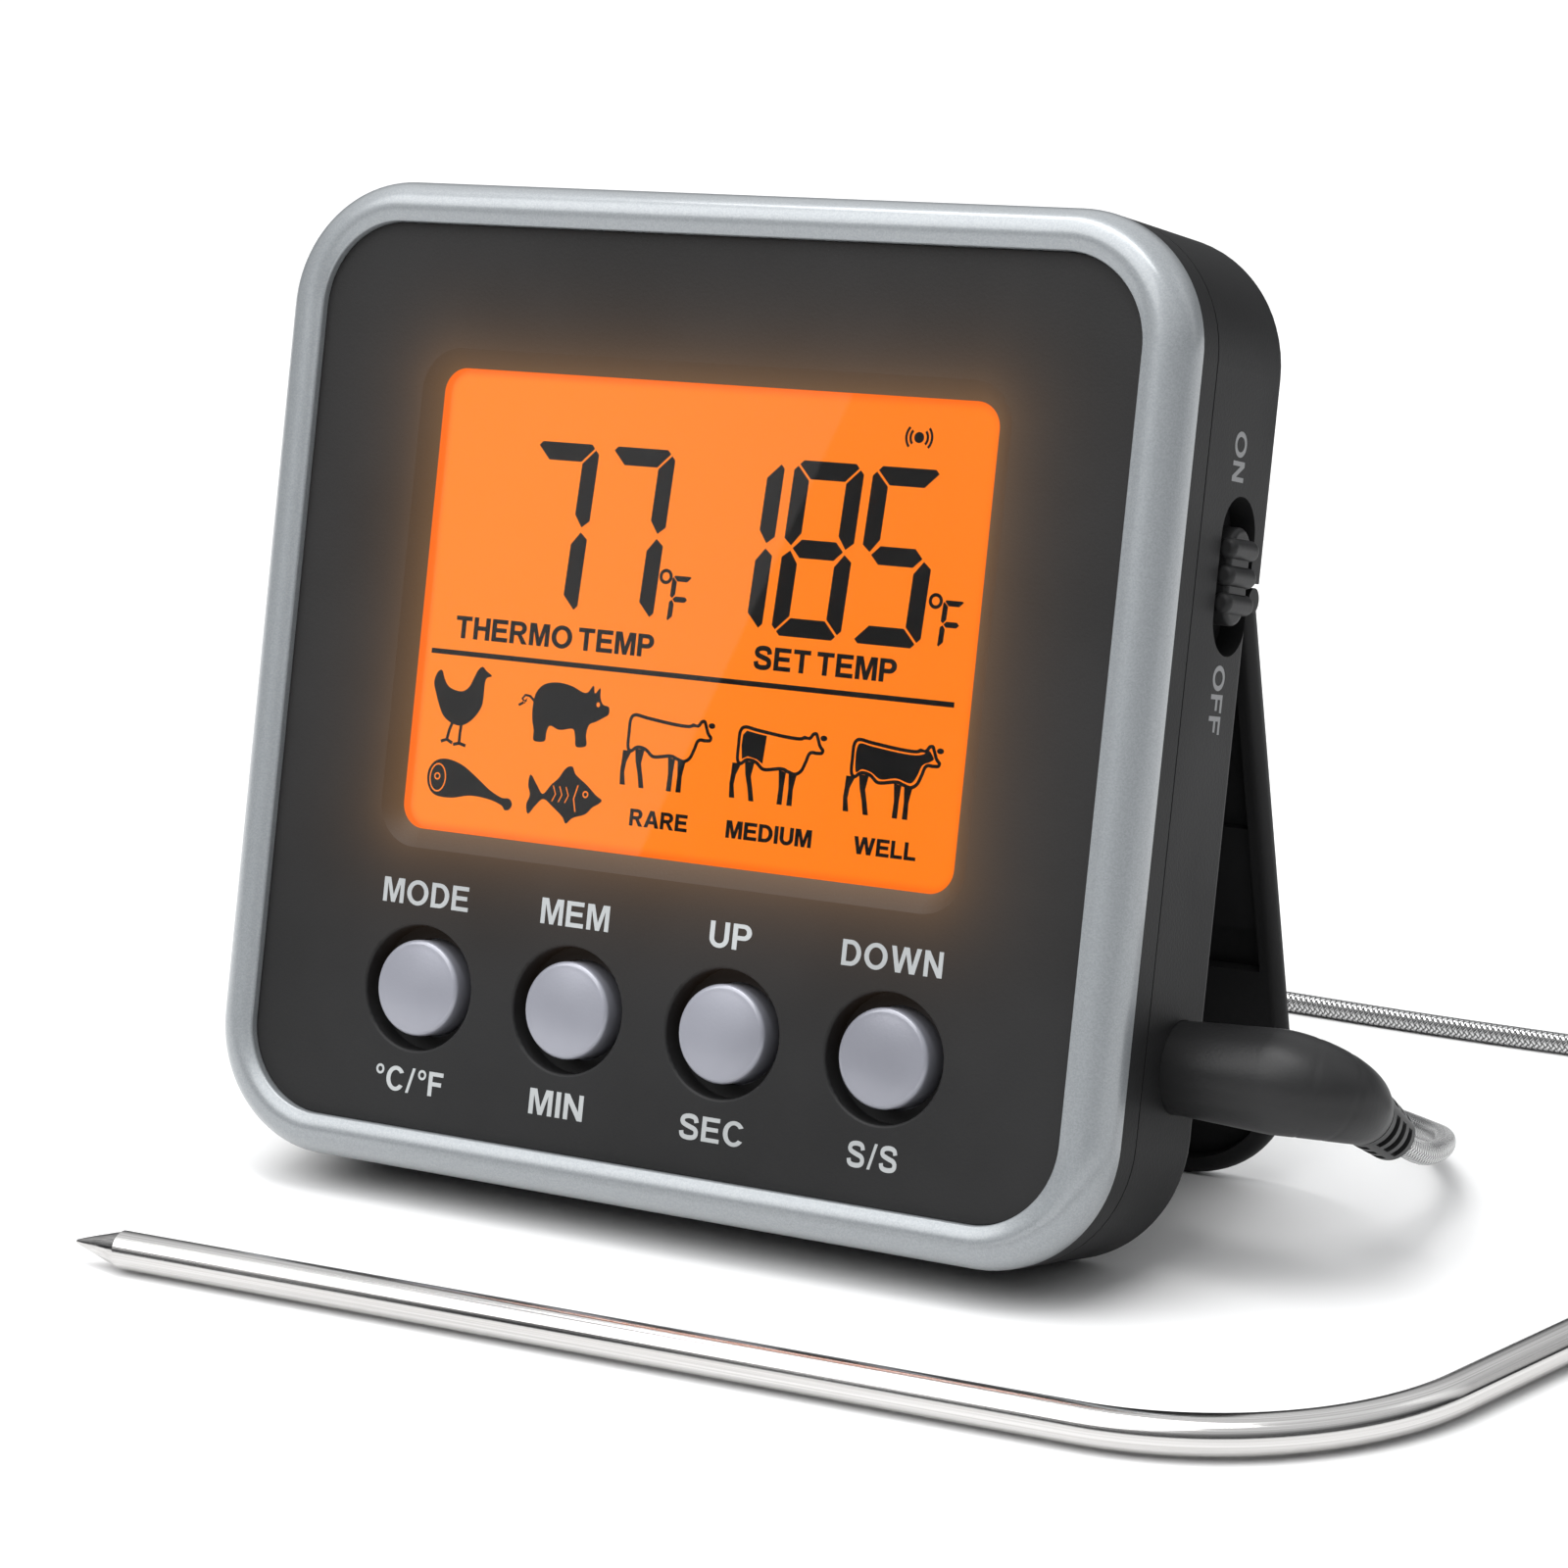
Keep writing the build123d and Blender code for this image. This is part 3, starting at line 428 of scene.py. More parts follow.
def moulded_group():
    """Fine grain of a moulded surface with faint cloudy patches, from noise on object coordinates."""
    group = bpy.data.node_groups.new("moulded_skin", "ShaderNodeTree")
    for name, value in (("Grain", 5000.0), ("Cloud", 60.0)):
        group.interface.new_socket(name, in_out="INPUT", socket_type="NodeSocketFloat").default_value = value
    for name in ("Height", "Cloud"):
        group.interface.new_socket(name, in_out="OUTPUT", socket_type="NodeSocketFloat")
    given, answer = put(group, "NodeGroupInput"), put(group, "NodeGroupOutput")
    group.links.new(noise(group, given.outputs["Grain"]), answer.inputs["Height"])
    group.links.new(noise(group, given.outputs["Cloud"], 3.0), answer.inputs["Cloud"])
    return group


skin_group = moulded_group()


def moulded(name, colour, roughness, grain=5000.0, relief=0.00002, **sockets):
    """A moulded plastic or rubber: its colour and gloss drift a little, and fine grain breaks the gloss."""
    material, tree, shader = finish_of(name, colour, roughness, **sockets)
    skin = put(tree, "ShaderNodeGroup", node_tree=skin_group)
    skin.inputs["Grain"].default_value = grain
    darker, lighter = [c * 0.86 for c in colour], [min(c * 1.14, 1.0) for c in colour]
    patches = skin.outputs["Cloud"]
    feed(shader, Base_Color=tint(tree, ramp(tree, patches, 0.3, 0.7), darker, lighter),
         Roughness=ramp(tree, patches, 0.3, 0.7, roughness * 0.92, roughness * 1.08),
         Normal=bumped(tree, skin.outputs["Height"], 0.6, relief))
    return material


plug_black = moulded("plug_black", (0.016, 0.016, 0.0165), 0.42, grain=3500.0, Specular_IOR_Level=0.3)
plug_body = add_piece("plug_elbow", pipe(on_table(plug_path), plug_radius * MM, PLUG_SIDES, plug_level),
                      plug_black, "probe_lead")
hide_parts("plug_body")

# ---- strain relief: the plug's slotted tail --------------------------------------------------
# The same moulding runs on as a tapered tail.  Three rows of slots let it bend; a rib between
# each two slots holds the rows together.
relief_at = plug_path[-1]
relief_run = np.linspace(0, RELIEF_LEN, 130)
relief_path = relief_at + lead_way * relief_run[:, None]
SLOT_ROWS, SLOT_HALF, SLOT_CORE = (1.35, 3.1, 4.85), 0.45, 1.15
RIBS, RIB_HALF, RIB_TURN, RIB_EDGE = 4, radians(10), radians(20), radians(4)
TAIL_R, TAIL_TAPER, TAIL_ROUND, TAIL_SIDES = 2.44, 0.45, 0.3, 120
relief_angle = np.linspace(0, tau, TAIL_SIDES, endpoint=False)
from_rib = np.abs((relief_angle - RIB_TURN + pi / RIBS) % (tau / RIBS) - pi / RIBS)
in_slot = sum(np.clip((SLOT_HALF - np.abs(relief_run - at)) / 0.07 + 0.5, 0, 1) for at in SLOT_ROWS)
off_rib = np.clip((from_rib - RIB_HALF) / RIB_EDGE, 0, 1)
tail_r = TAIL_R - TAIL_TAPER * relief_run / RELIEF_LEN - rounding(RELIEF_LEN - relief_run, TAIL_ROUND)
relief_r = tail_r[:, None] - (tail_r[:, None] - SLOT_CORE) * in_slot[:, None] * off_rib
relief = add_piece("slotted_relief", pipe(on_table(relief_path), relief_r * MM, TAIL_SIDES, plug_level),
                   plug_black, "probe_lead")
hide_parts("strain_relief")

# ---- plug pin: turned contact, seen when the plug is drawn out -------------------------------
# A brass pin with nickel plating, turned to its waisted point.  One black ring parts its two
# contacts, and the moulding holds its other end.
PIN_TONE, RING_TONE = (0.74, 0.71, 0.64), (0.01, 0.01, 0.01)
RING_AT, RING_HALF = pin_low.x + 0.0042, 0.0004
pin_metal, tree, shader = finish_of("pin_nickel", PIN_TONE, 0.2, Metallic=1.0)
pin_x = put(tree, "ShaderNodeSeparateXYZ", {0: object_place(tree)}).outputs["X"]
from_ring = math(tree, "ABSOLUTE", math(tree, "SUBTRACT", pin_x, RING_AT))
on_ring = math(tree, "LESS_THAN", from_ring, RING_HALF)
lathe_marks = noise(tree, 9000.0, place=put(tree, "ShaderNodeCombineXYZ", {0: pin_x}).outputs[0])
feed(shader, Base_Color=tint(tree, on_ring, PIN_TONE, RING_TONE),
     Metallic=math(tree, "SUBTRACT", 1.0, on_ring), Roughness=ramp(tree, lathe_marks, 0.3, 0.7, 0.15, 0.28))


def dress(material, *nodes):
    """Gives CAD nodes a finish."""
    for node in nodes:
        for slot in frame["nodes"][node].material_slots:
            slot.material = material


dress(pin_metal, "plug_pin")

# ---- coil tie: coated wire twisted round the wound lead --------------------------------------
# A soft wire in a flat black plastic coat, bent once round all turns of the coil.  Its two ends
# stand up together on top.
tie_black = moulded("tie_black", (0.03, 0.03, 0.03), 0.4, grain=2500.0)
dress(tie_black, "coil_tie")

# ---- probe: drawn stainless tube, pointed at one end and crimped on the lead at the other ----
# The tube is polished along its length.  Its point is ground and welded shut, and the end at the
# lead is bent up so that the lead stays out of the heat.
PROBE_TIP, PROBE_BEND, PROBE_END = np.array([-36.3, -31.1]), np.array([65.5, -28.2]), np.array([79.2, 28.3])
PROBE_R, BEND_R, PROBE_Z, PROBE_STEP, PROBE_SIDES = 1.5, 22.0, 1.75, 0.2, 48
POINT_LEN, POINT_R, POINT_CURVE, POINT_LAP = 4.6, 0.16, 0.92, 0.2
COLLAR_R, COLLAR_LEN, COLLAR_ROUND = 1.75, 7.0, 0.3
CRIMPS_AT, CRIMP_DEPTH, CRIMP_HALF = (2.2, 4.8), 0.22, 0.35


def probe_line():
    """Straight shaft, an arc of BEND_R tangent to both runs, and a straight handle, at one height."""
    shaft_way, handle_way = unit(PROBE_BEND - PROBE_TIP), unit(PROBE_END - PROBE_BEND)
    turn = np.arccos(shaft_way @ handle_way)
    reach = BEND_R * np.tan(turn / 2)
    start = PROBE_BEND - shaft_way * reach
    inward = np.array([-shaft_way[1], shaft_way[0]])
    centre = start + BEND_R * inward
    spin = np.linspace(0, turn, 60)[:, None]
    arc = centre + BEND_R * (np.sin(spin) * shaft_way - np.cos(spin) * inward)
    shaft = PROBE_TIP + shaft_way * np.linspace(0, np.linalg.norm(start - PROBE_TIP), 90)[:, None]
    handle = arc[-1] + handle_way * np.linspace(0, np.linalg.norm(PROBE_END - arc[-1]), 60)[:, None]
    flat = np.concatenate([shaft[:-1], arc, handle[1:]])
    return evenly(np.column_stack([flat, np.full(len(flat), PROBE_Z)]), PROBE_STEP)


probe_path, probe_len = probe_line()
probe_at = np.linspace(0, probe_len, len(probe_path))

steel, tree, shader = finish_of("probe_steel", (0.62, 0.61, 0.60), 0.14, Metallic=1.0)
run = put(tree, "ShaderNodeSeparateXYZ", {0: put(tree, "ShaderNodeUVMap").outputs[0]})
streak_at = put(tree, "ShaderNodeCombineXYZ", {0: math(tree, "MULTIPLY", run.outputs[0], 3.0),
                                               1: math(tree, "MULTIPLY", run.outputs[1], 60.0)}).outputs[0]
streaks = noise(tree, 1.0, 5.0, streak_at)
feed(shader, Base_Color=tint(tree, ramp(tree, streaks, 0.35, 0.65), (0.50, 0.49, 0.48), (0.66, 0.65, 0.64)),
     Roughness=ramp(tree, streaks, 0.3, 0.7, 0.10, 0.24), Normal=bumped(tree, streaks, 0.25, 0.00002))

in_point, in_collar = probe_at <= POINT_LEN, probe_at >= probe_len - COLLAR_LEN
point_r = POINT_R + (PROBE_R - POINT_R) * (probe_at[in_point] / POINT_LEN) ** POINT_CURVE
probe_point = add_piece("probe_point", pipe(on_table(probe_path[in_point]), point_r * MM, PROBE_SIDES), steel,
                        "probe_lead")
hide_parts("probe_tip")
shaft_part = ~in_collar & (probe_at >= POINT_LEN - POINT_LAP)
probe_shaft = add_piece("probe_shaft", pipe(on_table(probe_path[shaft_part]), PROBE_R * MM, PROBE_SIDES),
                        steel, "probe_lead")
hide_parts("probe_tube")
collar_run = probe_at[in_collar] - (probe_len - COLLAR_LEN)
crimps = sum(CRIMP_DEPTH * np.exp(-((collar_run - at) / CRIMP_HALF) ** 4) for at in CRIMPS_AT)
from_end = np.minimum(collar_run, COLLAR_LEN - collar_run)
collar_r = COLLAR_R - crimps - COLLAR_ROUND * np.clip(1 - from_end / COLLAR_ROUND, 0, 1) ** 2
probe_collar = add_piece("crimp_collar", pipe(on_table(probe_path[in_collar]), collar_r * MM, PROBE_SIDES),
                         steel, "probe_lead")
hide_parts("probe_collar")

# ---- case: two moulded halves screwed together -----------------------------------------------
# Dark ABS with a fine spark texture.  The front half carries the fascia, the rear half the cells,
# the switch, the socket and the stand's knuckles.
case_dark = moulded("case_dark", (0.0145, 0.0145, 0.015), 0.55, grain=4200.0, relief=0.00003,
                    Specular_IOR_Level=0.16)
dress(case_dark, "front_case", "rear_case", "battery_door", "stand")

# ---- bezel: moulded ring in silver paint -----------------------------------------------------
# One ABS ring pressed on the front half and sprayed with silver flake under a clear coat.  Its
# inner lip stands over the fascia's edge, and its outside rolls back to the case's side.
OUTER_HALF, OUTER_R = (40.4, 39.4), 10.5
INNER_HALF, INNER_R = (36.65, 36.0), 6.95


def rounded_outline(half, radius, per_corner=26):
    """Four quarter circles round a rectangle's corners, in order round it."""
    angle = np.linspace(0, pi / 2, per_corner)
    loops = []
    for k, (sx, sz) in enumerate(((1, 1), (-1, 1), (-1, -1), (1, -1))):
        centre = np.array([sx * (half[0] - radius), sz * (half[1] - radius)])
        loops.append(centre + radius * np.column_stack([np.cos(angle + k * pi / 2),
                                                        np.sin(angle + k * pi / 2)]))
    return np.concatenate(loops)


def ring_profile():
    """(share of the way out, depth) round the ring's section: up the inner wall, a small lip radius,
    a low crown, a quarter ellipse down to the side, and the flat back."""
    width, crown_at, lip_r = 3.75, 1.35, 0.25
    lip_y, crest_y, fall_y, inner_back, outer_back = -0.45, -1.0, 1.7, 1.9, 2.1
    lip = np.linspace(0, pi / 2, 6)
    fall = np.linspace(0, pi / 2, 20)
    points = [(0.0, inner_back), (0.0, lip_y)]
    points += [(lip_r * (1 - cos(a)) / width, lip_y - lip_r * sin(a)) for a in lip]
    points += [(t / width, crest_y + 0.3 * ((crown_at - t) / (crown_at - lip_r)) ** 2)
               for t in (0.5, 0.8, 1.1)]
    points += [((crown_at + (width - crown_at) * sin(a)) / width, fall_y - (fall_y - crest_y) * cos(a))
               for a in fall]
    points += [(1.0, outer_back), (0.5, outer_back)]
    return np.array(points)


section = ring_profile()
inner, outer = rounded_outline(INNER_HALF, INNER_R), rounded_outline(OUTER_HALF, OUTER_R)
across = inner[:, None] + (outer - inner)[:, None] * section[None, :, :1]
ring_points = np.stack([across[..., 0], np.broadcast_to(section[:, 1], across.shape[:2]), across[..., 1]],
                       axis=-1)

silver, tree, shader = finish_of("silver_paint", (0.27, 0.288, 0.302), 0.34, Metallic=0.3, Coat_Weight=0.6,
                                 Coat_Roughness=0.14)
flakes = put(tree, "ShaderNodeTexVoronoi", {"Vector": object_place(tree), "Scale": 9000.0})
glint = put(tree, "ShaderNodeSeparateColor", {0: flakes.outputs["Color"]}).outputs[0]
feed(shader, Base_Color=tint(tree, glint, (0.25, 0.268, 0.282), (0.30, 0.318, 0.332)),
     Normal=bumped(tree, noise(tree, 900.0, 1.0), 0.3, 0.00002))
bezel = add_piece("bezel_shell", on_case(ring_points), silver, "case", along=True)
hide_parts("bezel_ring")

# ---- fascia: dark panel with the window and the button wells ---------------------------------
# A satin charcoal moulding, laid on the front half's inner flange under the bezel's lip.  Close round
# the window it glows orange: painted light, an emission on the fascia that stands in for the display's glow.
WINDOW_AT, WINDOW_HALF, WINDOW_R = (0.0, 6.25), (25.0, 18.45), 2.0


def upright_group():
    """Object coordinates turned into the upright case's millimetres, one dot product for each axis."""
    group = bpy.data.node_groups.new("upright_place", "ShaderNodeTree")
    for axis in "XYZ":
        group.interface.new_socket(axis, in_out="OUTPUT", socket_type="NodeSocketFloat")
    answer = put(group, "NodeGroupOutput")
    from_hinge = put(group, "ShaderNodeVectorMath", {0: object_place(group), 1: tuple(hinge)},
                     operation="SUBTRACT").outputs[0]
    for axis, direction, start in zip("XYZ", case_axes, HINGE_ON_CASE):
        along = put(group, "ShaderNodeVectorMath", {0: from_hinge, 1: tuple(direction / MM)},
                    operation="DOT_PRODUCT")
        group.links.new(math(group, "ADD", along.outputs["Value"], start), answer.inputs[axis])
    return group


upright = upright_group()


def from_window(tree):
    """Millimetres outside the window's rounded outline, negative inside it."""
    place = put(tree, "ShaderNodeGroup", node_tree=upright)
    past = []
    for axis, middle, half in zip("XZ", WINDOW_AT, WINDOW_HALF):
        off = math(tree, "ABSOLUTE", math(tree, "SUBTRACT", place.outputs[axis], middle))
        past.append(math(tree, "SUBTRACT", off, half - WINDOW_R))
    beyond = [math(tree, "POWER", math(tree, "MAXIMUM", side, 0.0), 2.0) for side in past]
    corner = math(tree, "SQRT", math(tree, "ADD", *beyond))
    inside = math(tree, "MINIMUM", math(tree, "MAXIMUM", *past), 0.0)
    return math(tree, "SUBTRACT", math(tree, "ADD", corner, inside), WINDOW_R)


charcoal = moulded("fascia_charcoal", (0.015, 0.015, 0.0155), 0.55, grain=4200.0, Specular_IOR_Level=0.22)
tree, shader = charcoal.node_tree, charcoal.node_tree.nodes["Principled BSDF"]
# Painted glow: the fascia itself emits orange light, fading with distance from the window.
PAINTED_GLOW_REACH, PAINTED_GLOW_TONE = 2.6, (0.13, 0.062, 0.018)
off_window = math(tree, "MAXIMUM", from_window(tree), 0.0)
painted_glow = math(tree, "EXPONENT", math(tree, "DIVIDE", off_window, -PAINTED_GLOW_REACH))
feed(shader, Emission_Color=tint(tree, painted_glow, (0.0, 0.0, 0.0), PAINTED_GLOW_TONE))
shader.inputs["Emission Strength"].default_value = 1.0
dress(charcoal, "front_panel")

# ---- display: window lens over a lit liquid-crystal glass ------------------------------------
# Clear acrylic window; behind it the glass, lit orange from the back and a little deeper in
# colour towards the right and in a thin band along its edge.
lens_clear, tree, shader = finish_of("lens_clear", (1.0, 1.0, 1.0), 0.03, IOR=1.49, Transmission_Weight=1.0)
feed(shader, Roughness=ramp(tree, noise(tree, 55.0, 4.0), 0.4, 0.8, 0.0, 0.012))
dress(lens_clear, "window_lens")

lit_glass, tree, shader = finish_of("lit_glass", (0.02, 0.006, 0.001), 0.5, Emission_Strength=1.12,
                                    Specular_IOR_Level=0.1)
place = put(tree, "ShaderNodeGroup", node_tree=upright)
across_glass = ramp(tree, place.outputs["X"], -25.0, 25.0)
edge = ramp(tree, from_window(tree), -0.8, 0.0)
even = tint(tree, across_glass, (1.0, 0.235, 0.012), (1.0, 0.205, 0.006))
feed(shader, Emission_Color=tint(tree, edge, even, (0.97, 0.15, 0.006)))
dress(lit_glass, "lcd_glass", "lcd_backlight")

# ---- what the display shows ------------------------------------------------------------------
# The glass's dark segments: seven-segment figures, words, a rule, an alarm sign and pictures of
# the meats.  They are flat shapes a hair's breadth in front of the glass.
INK_DEPTH, INK_HALF = 1.835, 0.008     # marks' middle, between glass and window; half their thickness
ink, tree, shader = finish_of("segment_black", (0.004, 0.004, 0.004), 0.6, Specular_IOR_Level=0.1)
feed(shader, Roughness=ramp(tree, noise(tree, 2000.0), 0.3, 0.7, 0.5, 0.7))


def filled(*loops, grown=0.0):
    """Closed outlines filled flat as (points, faces): a loop inside another is a hole.
    Edges move out by grown."""
    curve = bpy.data.curves.new("filled", "CURVE")
    curve.dimensions, curve.fill_mode, curve.extrude = "2D", "BOTH", INK_HALF
    curve.offset = grown
    for loop in loops:
        outline = curve.splines.new("POLY")
        outline.points.add(len(loop) - 1)
        outline.points.foreach_set("co", np.column_stack([loop, np.zeros(len(loop)),
                                                          np.ones(len(loop))]).ravel())
        outline.use_cyclic_u = True
    holder = bpy.data.objects.new("flat", curve)
    mesh = bpy.data.meshes.new_from_object(holder)
    points = np.array([v.co for v in mesh.vertices])
    faces = [tuple(face.vertices) for face in mesh.polygons]
    bpy.data.objects.remove(holder)
    bpy.data.meshes.remove(mesh)
    return points, faces


def front_marks(points):
    """Flat x, y and thickness onto the case's front: x right, y up, thickness towards the viewer."""
    return np.column_stack([points[:, 0], -points[:, 2], points[:, 1]])


def lay_marks(name, flats, depth, material, body="case", turn=front_marks):
    """Joins flat shapes into one piece and lays it on the case at a depth."""
    points, faces, count = [], [], 0
    for flat_points, flat_faces in flats:
        points.append(turn(flat_points) + depth)
        faces += [tuple(k + count for k in face) for face in flat_faces]
        count += len(flat_points)
    mesh = bpy.data.meshes.new(name)
    mesh.from_pydata(on_case(np.concatenate(points)).tolist(), [], faces)
    return ride_piece(name, mesh, material, body, smooth=False)


def soft_loop(points, per=6):
    """A closed smooth outline through the points: a Catmull-Rom curve, per steps between two points."""
    p = np.asarray(points, float)
    before, after, second = np.roll(p, 1, 0), np.roll(p, -1, 0), np.roll(p, -2, 0)
    t = np.linspace(0, 1, per, endpoint=False)[:, None]
    parts = [2 * p[:, None], (after - before)[:, None] * t,
             (2 * before - 5 * p + 4 * after - second)[:, None] * t ** 2,
             (3 * p - before - 3 * after + second)[:, None] * t ** 3]
    return (sum(parts) / 2).reshape(-1, 2)


def arc_loop(x, z, radius, width, start, end, steps=28):
    """A band of a circle: out along its outer edge and back along its inner one."""
    angle = np.radians(np.linspace(start, end, steps))
    edge = np.column_stack([np.cos(angle), np.sin(angle)])
    return np.concatenate([edge * (radius + width / 2), edge[::-1] * (radius - width / 2)]) + [x, z]


def disc_loop(x, z, radius_x, radius_z, steps=24):
    """An ellipse with upright axes."""
    angle = np.linspace(0, tau, steps, endpoint=False)
    return np.column_stack([x + radius_x * np.cos(angle), z + radius_z * np.sin(angle)])


def stroke(points, width):
    """A line with thickness: each point moved half the width to either side of its way."""
    p = np.asarray(points, float)
    way = unit(np.gradient(p, axis=0))
    side = np.column_stack([-way[:, 1], way[:, 0]]) * width / 2
    return np.concatenate([p + side, (p - side)[::-1]])


def bow(x, z, radius_x, radius_z, start, end, steps=12):
    """Part of an ellipse, from one angle to another in degrees."""
    angle = np.radians(np.linspace(start, end, steps))
    return np.column_stack([x + radius_x * np.cos(angle), z + radius_z * np.sin(angle)]).tolist()


def eased(points, rounds=3):
    """An open line with its corners cut again and again, its ends kept."""
    p = np.asarray(points, float)
    for _ in range(rounds):
        cut = np.stack([0.75 * p[:-1] + 0.25 * p[1:], 0.25 * p[:-1] + 0.75 * p[1:]], axis=1).reshape(-1, 2)
        p = np.concatenate([p[:1], cut, p[-1:]])
    return p


# plain bold capitals, cap height 1: outlines first, then holes
LETTER_GAP, WORD_GAP = 0.15, 0.2
LETTERS = {
    "A": [[(0, 0), (0.36, 1), (0.62, 1), (0.98, 0), (0.76, 0), (0.69, 0.22), (0.29, 0.22), (0.22, 0)],
          [(0.35, 0.38), (0.63, 0.38), (0.49, 0.8)]],
    "C": [bow(0.48, 0.5, 0.48, 0.515, 33, 327, 26) + bow(0.48, 0.5, 0.27, 0.35, 320, 40, 22)],
    "D": [[(0, 0), (0, 1)] + bow(0.38, 0.5, 0.48, 0.5, 90, -90, 18), [(0.2, 0.17), (0.2, 0.83)]
          + bow(0.38, 0.5, 0.27, 0.33, 90, -90, 14)],
    "E": [[(0, 0), (0, 1), (0.78, 1), (0.78, 0.83), (0.2, 0.83), (0.2, 0.6), (0.73, 0.6), (0.73, 0.43),
           (0.2, 0.43), (0.2, 0.17), (0.8, 0.17), (0.8, 0)]],
    "F": [[(0, 0), (0, 1), (0.74, 1), (0.74, 0.83), (0.2, 0.83), (0.2, 0.59), (0.66, 0.59), (0.66, 0.42),
           (0.2, 0.42), (0.2, 0)]],
    "H": [[(0, 0), (0, 1), (0.2, 1), (0.2, 0.6), (0.62, 0.6), (0.62, 1), (0.82, 1), (0.82, 0), (0.62, 0),
           (0.62, 0.43), (0.2, 0.43), (0.2, 0)]],
    "I": [[(0, 0), (0, 1), (0.2, 1), (0.2, 0)]],
    "L": [[(0, 0), (0, 1), (0.2, 1), (0.2, 0.17), (0.72, 0.17), (0.72, 0)]],
    "M": [[(0, 0), (0, 1), (0.3, 1), (0.5, 0.3), (0.7, 1), (1, 1), (1, 0), (0.81, 0), (0.81, 0.78), (0.59, 0),
           (0.41, 0), (0.19, 0.78), (0.19, 0)]],
    "N": [[(0, 0), (0, 1), (0.21, 1), (0.63, 0.34), (0.63, 1), (0.82, 1), (0.82, 0), (0.61, 0), (0.19, 0.66),
           (0.19, 0)]],
    "O": [disc_loop(0.52, 0.5, 0.52, 0.515, 36), disc_loop(0.52, 0.5, 0.31, 0.345, 30)],
    "P": [[(0, 0), (0, 1)] + bow(0.46, 0.69, 0.33, 0.31, 90, -90) + [(0.2, 0.38), (0.2, 0)],
          [(0.2, 0.55), (0.2, 0.84)] + bow(0.44, 0.695, 0.14, 0.145, 90, -90)],
    "R": [[(0, 0), (0, 1)] + bow(0.5, 0.705, 0.33, 0.295, 90, -76)
          + [(0.88, 0), (0.64, 0), (0.4, 0.39), (0.2, 0.39), (0.2, 0)],
          [(0.2, 0.56), (0.2, 0.84)] + bow(0.48, 0.7, 0.14, 0.14, 90, -90)],
    "S": [stroke(eased([(0.73, 0.69), (0.68, 0.89), (0.42, 0.95), (0.12, 0.88), (0.08, 0.64), (0.4, 0.52),
                        (0.74, 0.42), (0.74, 0.12), (0.42, 0.05), (0.12, 0.11), (0.08, 0.31)]), 0.19)],
    "T": [[(0.3, 0), (0.3, 0.83), (0, 0.83), (0, 1), (0.8, 1), (0.8, 0.83), (0.5, 0.83), (0.5, 0)]],
    "U": [[(0, 1), (0.2, 1)] + bow(0.41, 0.36, 0.21, 0.2, 180, 360) + [(0.62, 1), (0.82, 1)]
          + bow(0.41, 0.36, 0.41, 0.375, 0, -180, 16)],
    "W": [[(0, 1), (0.21, 1), (0.37, 0.3), (0.55, 1), (0.79, 1), (0.97, 0.3), (1.13, 1), (1.34, 1), (1.1, 0),
           (0.86, 0), (0.67, 0.73), (0.48, 0), (0.24, 0)]],
    "/": [[(0, -0.02), (0.3, 1.02), (0.44, 1.02), (0.14, -0.02)]],
    "°": [disc_loop(0.21, 0.8, 0.21, 0.21, 24), disc_loop(0.21, 0.8, 0.11, 0.11, 20)],
}


def lettering(words, left, right, low, high, grown=0.0):
    """Words fitted to a box, letter by letter: each letter's loops are at cap height 1."""
    pen, shapes = 0.0, []
    for sign in words:
        if sign != " ":
            shapes.append([np.asarray(loop, float) + [pen, 0] for loop in LETTERS[sign]])
            pen = max(loop[:, 0].max() for loop in shapes[-1]) + LETTER_GAP
        else:
            pen += WORD_GAP
    every = np.concatenate([loop for shape in shapes for loop in shape])
    scale = np.array([right - left, high - low]) / np.ptp(every, axis=0)
    return [filled(*[(loop - every.min(0)) * scale + [left, low] for loop in shape], grown=grown)
            for shape in shapes]


FIGURE_W, FIGURE_H, STROKE, SPLIT, SLANT = 6.1, 13.5, 1.42, 0.13, 0.05
SEGMENTS = {"1": "bc", "5": "acdfg", "7": "abc", "8": "abcdefg", "F": "aefg"}


def figure_loops(sign, middle, low, width=FIGURE_W, height=FIGURE_H, bar=STROKE, split=SPLIT):
    """Mitred bars of a seven-segment figure.  Each is drawn once and mirrored to its other places."""
    cut = 0.45 * bar
    top = np.array([(cut + split, height), (width - cut - split, height),
                    (width - cut / 2 - split, height - cut / 2), (width - bar - split, height - bar),
                    (bar + split, height - bar), (cut / 2 + split, height - cut / 2)])
    mid = height / 2
    side = np.array([(0, height - cut - split), (cut / 2, height - cut / 2 - split),
                     (bar, height - bar - split), (bar, mid + bar * 0.74 + split),
                     (bar * 0.47, mid + split * 1.5), (0, mid + bar * 0.42 + split)])
    waist = np.array([(bar / 2 + split, mid), (bar + split, mid + bar / 2),
                      (width - bar - split, mid + bar / 2), (width - bar / 2 - split, mid),
                      (width - bar - split, mid - bar / 2), (bar + split, mid - bar / 2)])
    over, across_x = np.array([1, -1]), np.array([-1, 1])
    bars = {"a": top, "d": top * over + [0, height], "f": side, "b": side * across_x + [width, 0],
            "e": side * over + [0, height], "c": side * -1 + [width, height], "g": waist}
    return [np.column_stack([part[:, 0] - width / 2 + middle + SLANT * (part[:, 1] - mid), part[:, 1] + low])
            for part in (bars[key] for key in SEGMENTS[sign])]


